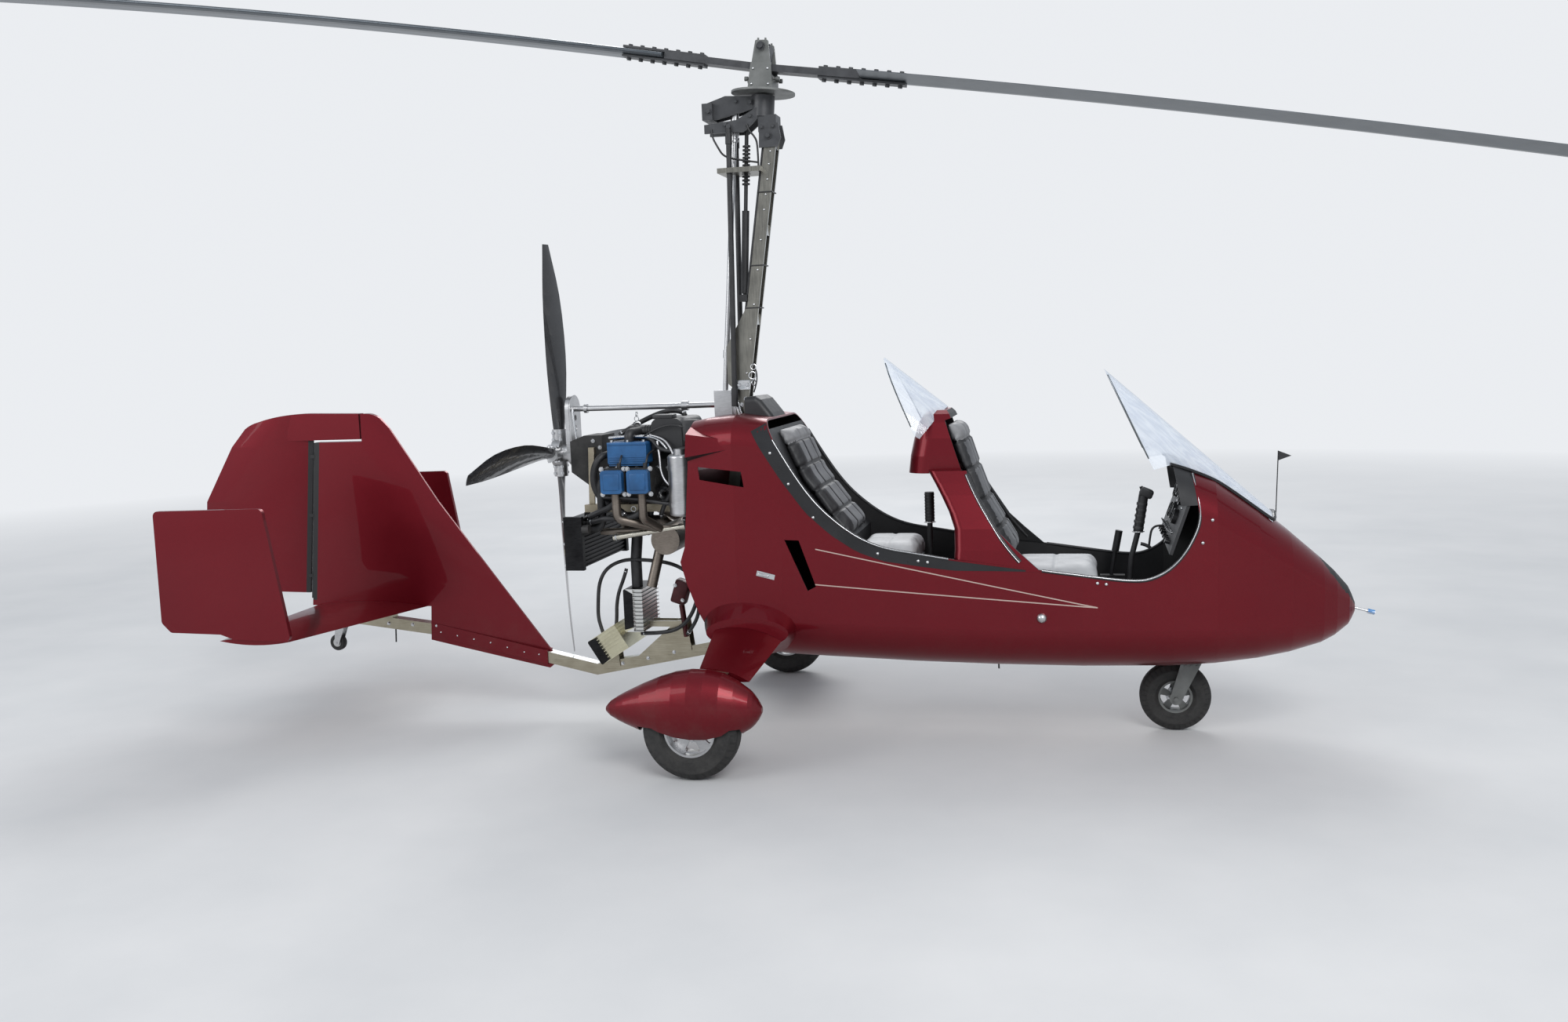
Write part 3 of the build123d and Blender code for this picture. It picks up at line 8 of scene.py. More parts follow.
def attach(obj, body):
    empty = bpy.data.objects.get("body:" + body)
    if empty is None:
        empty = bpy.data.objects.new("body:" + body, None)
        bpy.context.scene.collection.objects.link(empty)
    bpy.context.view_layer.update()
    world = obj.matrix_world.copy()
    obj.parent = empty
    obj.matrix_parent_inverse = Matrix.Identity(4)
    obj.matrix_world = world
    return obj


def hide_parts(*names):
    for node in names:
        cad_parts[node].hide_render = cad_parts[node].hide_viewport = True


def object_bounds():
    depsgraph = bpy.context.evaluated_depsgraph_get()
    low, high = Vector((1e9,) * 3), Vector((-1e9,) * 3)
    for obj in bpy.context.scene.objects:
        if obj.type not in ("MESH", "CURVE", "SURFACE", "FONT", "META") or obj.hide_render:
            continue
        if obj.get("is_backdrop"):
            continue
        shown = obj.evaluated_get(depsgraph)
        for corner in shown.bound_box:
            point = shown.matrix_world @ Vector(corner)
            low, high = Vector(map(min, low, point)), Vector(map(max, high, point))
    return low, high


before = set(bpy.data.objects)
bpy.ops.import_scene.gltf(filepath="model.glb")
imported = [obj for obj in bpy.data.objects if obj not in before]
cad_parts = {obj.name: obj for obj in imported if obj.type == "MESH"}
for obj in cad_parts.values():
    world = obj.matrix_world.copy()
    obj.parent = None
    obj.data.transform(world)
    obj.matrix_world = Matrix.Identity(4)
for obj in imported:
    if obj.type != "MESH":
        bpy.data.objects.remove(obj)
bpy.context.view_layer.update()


# The camera stands about 5 m off the starboard side, a little ahead of the nose wheel, and looks slightly
# down on the machine.
camera = bpy.data.objects.new("camera", bpy.data.cameras.new("camera"))
bpy.context.scene.collection.objects.link(camera)
camera.data.sensor_width = 36
camera.data.lens = 29.69
right, up, ahead = (0.97399, 0.22329, -0.03841), (0.00993, 0.12729, 0.99182), (-0.22635, 0.96641, -0.12176)
camera.matrix_world = Matrix.Translation((1.23924, -5.26468, 1.56062)) @ Matrix(
    [(right[i], up[i], -ahead[i]) for i in range(3)]).to_4x4()
bpy.context.scene.camera = camera


# Studio: pale poured floor that fades into an even pale backdrop, lit by wide soft boxes and an even sky.
class Value:
    """A socket of a material. The usual operators on it add Math nodes."""

    def __init__(self, finish, socket):
        self.finish, self.socket = finish, socket

    def math(self, operation, *values):
        return self.finish.node("ShaderNodeMath", {"operation": operation}, dict(enumerate((self,) + values)))

    def __add__(self, other):
        return self.math("ADD", other)

    __radd__ = __add__

    def __mul__(self, other):
        return self.math("MULTIPLY", other)

    __rmul__ = __mul__

    def __sub__(self, other):
        return self.math("SUBTRACT", other)

    def __rsub__(self, other):
        return self * -1 + other

    def __gt__(self, other):
        return self.math("GREATER_THAN", other)

    def __lt__(self, other):
        return self.math("LESS_THAN", other)

    def __abs__(self):
        return self.math("ABSOLUTE")

    def __pow__(self, other):
        return self.math("POWER", other)

    def least(self, other):
        return self.math("MINIMUM", other)

    def most(self, other):
        return self.math("MAXIMUM", other)


class Finish:
    """A material under construction: node() adds any node, put() feeds the shader."""

    def __init__(self, name, color=(0.5, 0.5, 0.5), **fixed):
        self.material = bpy.data.materials.new(name)
        self.material.use_nodes = True
        self.tree = self.material.node_tree
        self.shader = self.tree.nodes["Principled BSDF"]
        self.place = self.node("ShaderNodeTexCoord", out="Object")
        self.put("Base Color", (*color, 1))
        for key, value in fixed.items():
            self.put(key.replace("_", " ").title().replace("Ior", "IOR"), value)

    def join(self, socket, value):
        if isinstance(value, Value):
            self.tree.links.new(value.socket, socket)
        else:
            socket.default_value = value

    def node(self, kind, settings={}, links={}, out=0):
        node = self.tree.nodes.new(kind)
        for key, value in settings.items():
            if key == "stops":
                ramp = node.color_ramp.elements
                while len(ramp) < len(value):
                    ramp.new(0.5)
                for stop, (position, shade) in zip(ramp, value):
                    stop.position = position
                    stop.color = (*shade, 1) if isinstance(shade, tuple) else (shade, shade, shade, 1)
            else:
                setattr(node, key, value)
        for key, value in links.items():
            self.join(node.inputs[key], value)
        return Value(self, node.outputs[out])

    def put(self, key, value):
        self.join(self.shader.inputs[key], value)

    def noise(self, scale, detail=3.0, rough=0.55, place=None):
        return self.node("ShaderNodeTexNoise", {}, {"Vector": place or self.place, "Scale": scale,
                                                    "Detail": detail, "Roughness": rough})

    def ramp(self, factor, *stops):
        return self.node("ShaderNodeValToRGB", {"stops": stops}, {"Fac": factor})

    def shade(self, scale, dark, light, detail=3.0, top=0.8):
        """Base colour that wanders between two tones."""
        self.put("Base Color", self.ramp(self.noise(scale, detail), (0.3, dark), (top, light)))

    def mix(self, factor, a, b):
        """Colour a turning to colour b."""
        a, b = (end if isinstance(end, Value) else (*end, 1) for end in (a, b))
        return self.node("ShaderNodeMix", {"data_type": "RGBA"}, {"Factor": factor, 6: a, 7: b}, out=2)

    def bump(self, height, strength=0.2, distance=0.001):
        self.put("Normal", self.node("ShaderNodeBump", {}, {"Height": height, "Strength": strength,
                                                            "Distance": distance}))

    def stretched(self, x, y, z):
        """Object coordinates scaled along each axis, for brushed or drawn surfaces."""
        return self.node("ShaderNodeMapping", {}, {"Vector": self.place, "Scale": (x, y, z)})

    def axis(self, letter):
        return self.node("ShaderNodeSeparateXYZ", {}, {0: self.place}, out=letter)


def settle(obj, name, finish, body="airframe"):
    """Name a piece, give it its finish and let it ride on its body."""
    obj.name = name
    obj.data.name = name
    obj.data.materials.clear()
    obj.data.materials.append(finish.material)
    if body:
        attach(obj, body)
    return obj


def fresh():
    """Leave nothing selected, in object mode."""
    if bpy.context.object and bpy.context.object.mode != "OBJECT":
        bpy.ops.object.mode_set(mode="OBJECT")
    bpy.ops.object.select_all(action="DESELECT")


def pick(*objects):
    """Select only these pieces; the last one is active."""
    fresh()
    for obj in objects:
        obj.select_set(True)
    bpy.context.view_layer.objects.active = obj


PALE = (0.83, 0.85, 0.88)
fresh()
bpy.ops.mesh.primitive_circle_add(vertices=96, radius=70, fill_type="NGON", location=(0, 0, -0.001))
floor = bpy.context.object
bpy.ops.object.mode_set(mode="EDIT")
bpy.ops.mesh.inset(thickness=55)
bpy.ops.object.mode_set(mode="OBJECT")
bpy.ops.object.transform_apply()
concrete = Finish("concrete", roughness=0.75)
concrete.shade(1.2, (0.5, 0.505, 0.51), (0.56, 0.56, 0.56), 6, top=0.7)
concrete.bump(concrete.noise(90, 5), 0.05)
path = concrete.node("ShaderNodeLightPath")
seen = Value(concrete, path.socket.node.outputs["Is Camera Ray"]).most(
    Value(concrete, path.socket.node.outputs["Is Glossy Ray"])).most(
    Value(concrete, path.socket.node.outputs["Is Transmission Ray"]))
away = concrete.node("ShaderNodeVectorMath", {"operation": "LENGTH"}, {0: concrete.place}, out="Value")
fade = ((away - 6.0) * 0.125).most(0.0).least(1.0) * seen
backdrop = concrete.node("ShaderNodeEmission", {}, {"Color": (*PALE, 1), "Strength": 1.0})
blended = concrete.node("ShaderNodeMixShader", {}, {0: fade, 1: Value(concrete, concrete.shader.outputs[0]),
                                                    2: backdrop})
concrete.join(concrete.tree.nodes["Material Output"].inputs["Surface"], blended)
settle(floor, "floor", concrete, body=None)
floor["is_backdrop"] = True

world = bpy.data.worlds.new("studio")
bpy.context.scene.world = world
world.use_nodes = True
tree = world.node_tree
sky = tree.nodes["Background"]
sky.inputs["Color"].default_value = (0.8, 0.85, 0.92, 1)
sky.inputs["Strength"].default_value = 0.75
plain = tree.nodes.new("ShaderNodeBackground")
plain.inputs["Color"].default_value = (*PALE, 1)
rays = tree.nodes.new("ShaderNodeLightPath")
either = tree.nodes.new("ShaderNodeMath")
either.operation = "MAXIMUM"
tree.links.new(rays.outputs["Is Camera Ray"], either.inputs[0])
tree.links.new(rays.outputs["Is Transmission Ray"], either.inputs[1])
choose = tree.nodes.new("ShaderNodeMixShader")
tree.links.new(either.outputs[0], choose.inputs[0])
tree.links.new(sky.outputs[0], choose.inputs[1])
tree.links.new(plain.outputs[0], choose.inputs[2])
tree.links.new(choose.outputs[0], tree.nodes["World Output"].inputs[0])
for name, at, size, watts in (("key", (4.5, -7.5, 7.0), 5.0, 640), ("fill", (-6.5, -6.0, 4.5), 5.0, 260),
                              ("rim", (-1.0, 8.0, 7.5), 6.0, 560)):
    lamp = bpy.data.objects.new(name, bpy.data.lights.new(name, "AREA"))
    lamp.data.size = size
    lamp.data.energy = watts
    lamp.location = at
    lamp.rotation_euler = (Vector((0, 0, 1.0)) - Vector(at)).to_track_quat("-Z", "Y").to_euler()
    bpy.context.scene.collection.objects.link(lamp)
bpy.context.scene.view_settings.view_transform = "Standard"


# Fuselage, seat pod, legs, wheel fairings and tail: moulded composite under burgundy metallic paint with a
# thin clear coat. Two fine pale coach lines meet at a point on each side; the rudder hinge is masked black.
def dress(finish, *names):
    """Give CAD nodes a finish."""
    for name in names:
        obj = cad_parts[name]
        obj.data.materials.clear()
        obj.data.materials.append(finish.material)


def face_finish(node, finish, chosen):
    """Second finish on the faces of a CAD node that a test on centre and normal picks."""
    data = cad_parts[node].data
    data.materials.append(finish.material)
    for face in data.polygons:
        if chosen(face.center, face.normal):
            face.material_index = len(data.materials) - 1


def coach_line(finish, x0, z0, x1, z1, half):
    """Mask of a straight painted line in side view."""
    x, z = finish.axis("X"), finish.axis("Z")
    slope = (z1 - z0) / (x1 - x0)
    off = abs(z - (x - x0) * slope - z0)
    return (off < half) * (x > x0) * (x < x1)


paint = Finish("burgundy_paint", specular_ior_level=0.4, coat_roughness=0.03, coat_ior=1.4)
flake = paint.noise(900, 2)
broad = paint.noise(1.6, 4)
grime = paint.noise(9, 6, 0.7)
deep = paint.ramp(flake, (0.35, (0.115, 0.002, 0.0075)), (0.7, (0.215, 0.006, 0.014)))
shaded = paint.mix(broad * 0.5, deep, (0.085, 0.0015, 0.006))
low = (0.5 - paint.axis("Z")) * 1.6
dusty = paint.mix(low.most(0.0) * (grime.most(0.45) - 0.42), shaded, (0.17, 0.13, 0.11))
LINE_TIP, LINE_HALF = (1.284, 0.561), 0.0022
upper = coach_line(paint, 0.208, 0.789, *LINE_TIP, LINE_HALF)
lines = upper + coach_line(paint, 0.202, 0.648, *LINE_TIP, LINE_HALF)
side = abs(paint.axis("Y")) > 0.2
lined = paint.mix(lines.least(1.0) * side, dusty, (0.55, 0.42, 0.37))
along = paint.axis("X") - paint.axis("Z") * 0.1078 + 2.3068
hinge = (abs(along) < 0.033) * (paint.axis("Z") > 0.509) * (paint.axis("Z") < 1.243)
hinge = hinge * (abs(paint.axis("Y")) < 0.05) * (paint.axis("X") < -2.05)
paint.put("Base Color", paint.mix(hinge, lined, (0.01, 0.01, 0.011)))
paint.put("Metallic", 0.72 - hinge * 0.72)
paint.put("Roughness", 0.3 + grime * 0.12 + hinge * 0.15)
paint.put("Coat Weight", (0.42 - grime * 0.15) * (1 - hinge * 0.8))
paint.bump(paint.noise(45, 2), 0.03)
dress(paint, "fuselage", "seat_pod", "fin", "stabiliser", "end_plates", "rudder", "main_legs", "wheel_spats")

lining = Finish("black_inner_coat", roughness=0.5)
lining.shade(7, (0.008, 0.008, 0.009), (0.02, 0.019, 0.019), 5)
lining.put("Roughness", 0.38 + lining.noise(35) * 0.3)
lining.bump(lining.noise(260, 4), 0.18)
face_finish("fuselage", lining,
            lambda at, to: at.y * to.y + (at.z - 0.72) * to.z < -0.004 or at.x < -0.2 and to.x < -0.8)
face_finish("seat_pod", lining, lambda at, to: to.x > 0.28 or at.y * to.y < -0.3 * abs(at.y))


# Cockpit edging: a black flange laid over the shell along the rear cockpit, a rubber profile on the cut edge
# and a thin bright steel bead on it as a painted highlight, with screws in pairs under the sills.
def placed(name, data):
    """New object in the scene for a mesh or a curve."""
    obj = bpy.data.objects.new(name, data)
    bpy.context.scene.collection.objects.link(obj)
    return obj


def face_outwards():
    """Turn the faces of the active piece outwards."""
    bpy.ops.object.mode_set(mode="EDIT")
    bpy.ops.mesh.select_all(action="SELECT")
    bpy.ops.mesh.normals_make_consistent(inside=False)
    bpy.ops.object.mode_set(mode="OBJECT")


def skin_point(node, x, z, side):
    """Where the outer skin of a CAD node lies at a side-view point, and which way it faces."""
    hit, at, normal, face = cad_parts[node].ray_cast(Vector((x, 2 * side, z)), Vector((0, -side, 0)))
    return (at, normal) if hit else (None, None)


def tube(name, points, radius, finish, smooth=True, sides=3):
    """Round bar, hose or moulding along points, closed at its ends."""
    data = bpy.data.curves.new(name, "CURVE")
    data.dimensions = "3D"
    spline = data.splines.new("NURBS" if smooth else "POLY")
    spline.points.add(len(points) - 1)
    for point, at in zip(spline.points, points):
        point.co = (*at, 1)
    if smooth:
        spline.order_u = 3
        spline.use_endpoint_u = True
    data.resolution_u = 6
    data.bevel_depth = radius
    data.bevel_resolution = sides
    data.use_fill_caps = True
    obj = placed(name, data)
    pick(obj)
    bpy.ops.object.convert(target="MESH")
    obj = bpy.context.object
    bpy.ops.object.shade_smooth_by_angle(angle=radians(40))
    return settle(obj, name, finish) if finish else obj


def joined(name, parts, finish):
    """Several modelled pieces made one."""
    pick(*reversed(parts))
    if len(parts) > 1:
        bpy.ops.object.join()
    return settle(bpy.context.object, name, finish)


def copies(name, model, places, finish, body="airframe"):
    """Copies of one modelled piece, each at a point, facing along a direction and scaled, as one object."""
    mesh = bmesh.new()
    for at, toward, size in places:
        turn = Vector(toward).to_track_quat("Z", "Y").to_matrix().to_4x4()
        data = model.data.copy()
        data.transform(Matrix.Translation(at) @ turn @ Matrix.Scale(size, 4))
        mesh.from_mesh(data)
        bpy.data.meshes.remove(data)
    data = bpy.data.meshes.new(name)
    mesh.to_mesh(data)
    mesh.free()
    obj = placed(name, data)
    return settle(obj, name, finish, body)


def top_faces(obj):
    """Select in edit mode the faces that look along +Z of a piece at the origin."""
    bpy.ops.mesh.select_mode(type="FACE")
    bpy.ops.mesh.select_all(action="DESELECT")
    bpy.ops.object.mode_set(mode="OBJECT")
    top = max(face.center.z for face in obj.data.polygons)
    for face in obj.data.polygons:
        face.select = face.normal.z > 0.5 and face.center.z > top - 1e-4
    bpy.ops.object.mode_set(mode="EDIT")


def hex_bolt():
    """Hex head with a chamfered top on its round washer, 1 unit across the head."""
    fresh()
    bpy.ops.mesh.primitive_cylinder_add(vertices=16, radius=0.68, depth=0.14, location=(0, 0, 0.07))
    washer = bpy.context.object
    fresh()
    bpy.ops.mesh.primitive_cylinder_add(vertices=6, radius=0.5, depth=0.5, location=(0, 0, 0.39))
    head = bpy.context.object
    bpy.ops.object.transform_apply()
    bpy.ops.object.mode_set(mode="EDIT")
    top_faces(head)
    bpy.ops.mesh.inset(thickness=0.06)
    bpy.ops.transform.translate(value=(0, 0, 0.05))
    bpy.ops.object.mode_set(mode="OBJECT")
    pick(washer, head)
    bpy.ops.object.join()
    bpy.ops.object.transform_apply()
    obj = bpy.context.object
    bpy.context.scene.collection.objects.unlink(obj)
    return obj


def screw_head():
    """Domed screw head, 1 unit across."""
    fresh()
    bpy.ops.mesh.primitive_uv_sphere_add(segments=14, ring_count=8, radius=0.5)
    obj = bpy.context.object
    bpy.ops.object.mode_set(mode="EDIT")
    bpy.ops.mesh.select_all(action="SELECT")
    bpy.ops.mesh.bisect(plane_co=(0, 0, 0), plane_no=(0, 0, 1), clear_inner=True, use_fill=True)
    bpy.ops.transform.resize(value=(1, 1, 0.5))
    bpy.ops.object.mode_set(mode="OBJECT")
    bpy.ops.object.transform_apply()
    bpy.ops.object.shade_smooth_by_angle(angle=radians(40))
    bpy.context.scene.collection.objects.unlink(obj)
    return obj


def metal(name, dark, light, rough, grain=(8, 8, 90), metallic=1.0):
    """Metal with a drawn or milled grain and faint stains."""
    finish = Finish(name, metallic=metallic)
    lines = finish.noise(6, 4, 0.6, finish.stretched(*grain))
    finish.put("Base Color", finish.ramp(finish.noise(12, 5) * 0.5 + lines * 0.5, (0.35, dark), (0.7, light)))
    finish.put("Roughness", rough + lines * 0.16)
    finish.bump(lines, 0.08, 0.0005)
    return finish


def coat(name, dark, light, rough=0.38, orange_peel=300):
    """Powder coat or hard anodising over metal."""
    finish = Finish(name, metallic=0.2)
    finish.shade(20, dark, light, 5, top=0.75)
    finish.put("Roughness", rough + finish.noise(50) * 0.18)
    finish.bump(finish.noise(orange_peel, 2), 0.08, 0.0006)
    return finish


def ribbon(name, rows, finish):
    """Thin sheet through rows of points."""
    wide = len(rows[0])
    vertices = [point for row in rows for point in row]
    faces = [(i * wide + j, i * wide + j + 1, (i + 1) * wide + j + 1, (i + 1) * wide + j)
             for i in range(len(rows) - 1) for j in range(wide - 1)]
    data = bpy.data.meshes.new(name)
    data.from_pydata(vertices, [], faces)
    obj = placed(name, data)
    thick = obj.modifiers.new("thick", "SOLIDIFY")
    thick.thickness = 0.0012
    thick.offset = 0
    pick(obj)
    bpy.ops.object.modifier_apply(modifier="thick")
    face_outwards()
    bpy.ops.object.shade_smooth_by_angle(angle=radians(35))
    return settle(obj, name, finish)


def stations(line, count):
    """Stations evenly along an open line: the ends of the piece it lies on, and the share of it passed."""
    lengths = [0.0]
    for a, b in zip(line, line[1:]):
        lengths.append(lengths[-1] + (Vector(b) - Vector(a)).length)
    out = []
    for i in range(count):
        s = lengths[-1] * i / (count - 1)
        k = max(j for j in range(len(line) - 1) if lengths[j] <= s + 1e-9)
        out.append((Vector(line[k]), Vector(line[k + 1]), (s - lengths[k]) / (lengths[k + 1] - lengths[k])))
    return out


rubber = Finish("rubber", (0.012, 0.012, 0.013), roughness=0.45)
rubber.shade(40, (0.01, 0.01, 0.011), (0.028, 0.028, 0.03))
rubber.put("Roughness", 0.36 + rubber.noise(80) * 0.25)
rubber.bump(rubber.noise(600), 0.1)
gloss_black = Finish("gloss_black", specular_ior_level=0.3, coat_roughness=0.08, coat_weight=0.25)
gloss_black.shade(8, (0.007, 0.007, 0.008), (0.016, 0.016, 0.018), 4)
gloss_black.put("Roughness", 0.22 + gloss_black.noise(25) * 0.14)
steel = metal("bright_steel", (0.5, 0.51, 0.52), (0.7, 0.7, 0.71), 0.18)

SIDES = ((-1, "right"), (1, "left"))
RIGHT, UP = (0, -1, 0), (0, 0, 1)
REAR_RIM = [(0.0, 1.313), (0.05, 1.219), (0.122, 1.094), (0.211, 0.969), (0.302, 0.885), (0.394, 0.823),
            (0.486, 0.788), (0.6, 0.77), (0.728, 0.748), (0.86, 0.73), (1.02, 0.709)]
REAR_EDGE = REAR_RIM[:9]
FRONT_RIM = [(1.08, 0.702), (1.25, 0.679), (1.43, 0.656), (1.5, 0.672), (1.562, 0.712), (1.62, 0.785),
             (1.663, 0.886), (1.648, 0.98), (1.634, 1.05)]
BAND = [0.062, 0.058, 0.052, 0.05, 0.048, 0.046, 0.044, 0.042, 0.036, 0.02, 0.006]
PROUD = 0.0012
rim = [a.lerp(b, share) for a, b, share in stations(REAR_RIM, 44)]
hexagon, dome = hex_bolt(), screw_head()
for side, hand in SIDES:
    for part, line in (("rear", REAR_EDGE), ("front", FRONT_RIM)):
        found = [skin_point("fuselage", x, z - 0.004, side)[0] for x, z in line]
        found = [point + Vector((0, -0.002 * side, 0.004)) for point in found if point]
        if len(found) > 2:
            tube(f"{part}_rim_edging_{hand}", found, 0.0065, rubber)
            # A thin bright steel bead along the top of the edging stands in for its highlight: a painted
            # highlight.
            shine = [point + Vector((0, 0.0055 * side, 0.0025)) for point in found]
            tube(f"{part}_rim_shine_{hand}", shine, 0.0022, steel)
    rows = []
    for i, at in enumerate(rim):
        run = (rim[min(i + 1, len(rim) - 1)] - rim[max(i - 1, 0)]).normalized()
        step = (len(BAND) - 1) * i / (len(rim) - 1)
        k = int(step)
        wide = BAND[k] + (BAND[min(k + 1, len(BAND) - 1)] - BAND[k]) * (step - k)
        row = []
        for across in (0, 0.25, 0.5, 0.75, 1):
            x, z = at.x + run.y * wide * across, at.y - run.x * wide * across
            point, out = skin_point("fuselage", x, z - 0.003, side)
            if point and out.y * side > 0.02:
                row.append(point + out * PROUD)
        if len(row) == 5:
            rows.append(row)
    ribbon(f"rim_flange_{hand}", rows, gloss_black)
    places = []
    for x, z in ((0.456, 0.772), (0.613, 0.743), (0.649, 0.738), (1.284, 0.655), (1.316, 0.651), (1.665, 0.8),
                 (1.7, 0.884), (0.205, 0.915), (0.11, 1.048), (0.04, 1.17)):
        point, out = skin_point("fuselage", x, z, side)
        if point:
            places.append((point + out * PROUD, out, 0.014))
    copies(f"sill_screws_{hand}", dome, places, steel)
POD_RIM = [(1.0, 0.735), (0.945, 0.795), (0.88, 0.9), (0.822, 1.0), (0.795, 1.06), (0.782, 1.125)]
for side, hand in SIDES:
    found = [skin_point("seat_pod", x - 0.012, z, side)[0] for x, z in POD_RIM]
    found = [point + Vector((0.01, -0.004 * side, 0)) for point in found if point]
    if len(found) > 2:
        tube(f"pod_rim_edging_{hand}", found, 0.01, rubber)
        # A thin bright steel bead along the pod's edging stands in for its highlight: a painted highlight.
        shine = [point + Vector((-0.002, 0.0098 * side, 0)) for point in found]
        tube(f"pod_rim_shine_{hand}", shine, 0.0018, steel)


# Small fittings in the shell's side: a flush catch, a fuel sampling cap and two short aerials below.
bare = metal("bare_aluminium", (0.42, 0.42, 0.425), (0.62, 0.62, 0.625), 0.26)
blue_cap = Finish("blue_cap", roughness=0.3)
blue_cap.shade(60, (0.05, 0.18, 0.42), (0.1, 0.3, 0.6))


def round_edges(obj, width):
    """Bevel the sharp edges of the active piece and shade it smooth between them."""
    edges = obj.modifiers.new("edges", "BEVEL")
    edges.width = width
    edges.segments = 2
    edges.limit_method = "ANGLE"
    bpy.ops.object.modifier_apply(modifier="edges")
    bpy.ops.object.shade_smooth_by_angle(angle=radians(35))


def plate(name, low, high, finish, edge=0.003, turn=None, relief=0.0):
    """Machined or moulded block between two corners with rounded edges and a raised or sunk outer face."""
    fresh()
    bpy.ops.mesh.primitive_cube_add(size=1)
    obj = bpy.context.object
    low, high = Vector(low), Vector(high)
    obj.scale = high - low
    bpy.ops.object.transform_apply(scale=True)
    if relief:
        bpy.ops.object.mode_set(mode="EDIT")
        bpy.ops.mesh.select_mode(type="FACE")
        bpy.ops.mesh.select_all(action="DESELECT")
        bpy.ops.object.mode_set(mode="OBJECT")
        widest = max(face.area for face in obj.data.polygons)
        for face in obj.data.polygons:
            face.select = face.area > widest * 0.98
        bpy.ops.object.mode_set(mode="EDIT")
        bpy.ops.mesh.inset(thickness=min(high - low) * 0.35 + edge, depth=relief, use_individual=True)
        bpy.ops.object.mode_set(mode="OBJECT")
    round_edges(obj, edge)
    middle = (low + high) / 2
    spin = Matrix.Rotation(radians(turn[1]), 4, turn[0]) if turn else Matrix.Identity(4)
    obj.data.transform(Matrix.Translation(middle) @ spin)
    return settle(obj, name, finish) if finish else obj


CATCH_TURN = ("Y", 14)
point, out = skin_point("fuselage", 0.002, 0.684, -1)
catch = plate("catch_plate", point + Vector((-0.038, -0.003, -0.011)), point + Vector((0.038, 0.001, 0.011)),
              None, 0.002, turn=CATCH_TURN, relief=-0.001)
lever = plate("catch_lever", point + Vector((-0.03, -0.007, -0.005)), point + Vector((0.012, -0.002, 0.005)),
              None, 0.002, turn=CATCH_TURN)
joined("door_catch", [catch, lever], steel)
point, out = skin_point("fuselage", 1.077, 0.521, -1)
copies("sampling_cap", dome, [(point, out, 0.032)], blue_cap)
copies("sampling_cap_ring", dome, [(point - out * 0.002, out, 0.04)], bare)
for x, y, low_z in ((0.889, -0.05, 0.248), (1.389, -0.02, 0.262)):
    points = [(x, y, 0.322), (x + 0.003, y, 0.3), (x + 0.004, y, low_z)]
    tube(f"belly_aerial_{int(x * 1000)}", points, 0.0035, gloss_black)


# Cockpit lining, glare hood, panel, air box and intake runners: black moulded plastic with a fine grain.
plastic = Finish("black_plastic", roughness=0.42)
plastic.shade(6, (0.01, 0.01, 0.011), (0.022, 0.022, 0.024))
plastic.put("Roughness", 0.35 + plastic.noise(30) * 0.25)
plastic.bump(plastic.noise(1400, 1), 0.25, 0.0004)
dress(plastic, "glare_hood", "instrument_panel", "cockpit_liner", "airbox", "intake_runners")


# Instrument panel: round gauges with bezels, pale pointers and tick rings, a row of toggles and knobs below.
PANEL_FOOT, PANEL_TOP = Vector((1.545, 0, 0.76)), Vector((1.648, 0, 1.052))
panel_up = (PANEL_TOP - PANEL_FOOT).normalized()
panel_out = Vector((-panel_up.z, 0, panel_up.x))
white_print = Finish("white_print", roughness=0.5)
white_print.shade(300, (0.62, 0.62, 0.6), (0.78, 0.78, 0.76), 2)


def on_panel(across, up, out=0.0):
    """Point on the panel's face, measured from the middle of its foot, or that far out of it."""
    return PANEL_FOOT + panel_up * up + Vector((0, across, 0)) + panel_out * out


def ring(outer, inner, high):
    """Turned ring standing on z = 0 with a rounded upper edge."""
    fresh()
    bpy.ops.mesh.primitive_circle_add(vertices=40, radius=outer)
    obj = bpy.context.object
    bpy.ops.object.mode_set(mode="EDIT")
    bpy.ops.mesh.select_mode(type="VERT")
    bpy.ops.mesh.select_all(action="SELECT")
    bpy.ops.mesh.extrude_region_move(TRANSFORM_OT_translate={"value": (0, 0, high)})
    bpy.ops.mesh.extrude_region_move()
    bpy.ops.transform.resize(value=(inner / outer, inner / outer, 1))
    bpy.ops.mesh.extrude_region_move(TRANSFORM_OT_translate={"value": (0, 0, -high)})
    face_outwards()
    round_edges(obj, high * 0.25)
    bpy.context.scene.collection.objects.unlink(obj)
    return obj


bezel = ring(1.0, 0.86, 0.14)
places, needles, ticks = [], [], []
for across, up, r in ((-0.15, 0.21, 0.04), (-0.055, 0.225, 0.038), (0.045, 0.225, 0.038), (0.14, 0.21, 0.04),
                         (-0.11, 0.12, 0.03), (0, 0.13, 0.034), (0.11, 0.12, 0.03)):
    centre = on_panel(across, up, 0.0125)
    places.append((centre, panel_out, r))
    aim = Vector((0, cos(across * 40 + 1), 0)) + panel_up * sin(across * 40 + 1)
    needles.append((centre + panel_out * 0.0012 - aim * r * 0.2, aim, r * 0.82))
    for k in range(12):
        way = Vector((0, cos(k * pi / 6), 0)) + panel_up * sin(k * pi / 6)
        ticks.append((centre + panel_out * 0.0006 + way * r * 0.68, way, r * 0.12))
copies("gauge_bezels", bezel, places, gloss_black)
for name, rods, thick in (("gauge_needles", needles, 0.028), ("gauge_ticks", ticks, 0.13)):
    rod = tube("rod", [(0, 0, 0), (0, 0, 1)], thick, None, smooth=False, sides=1)
    copies(name, rod, rods, white_print)
    bpy.data.objects.remove(rod)
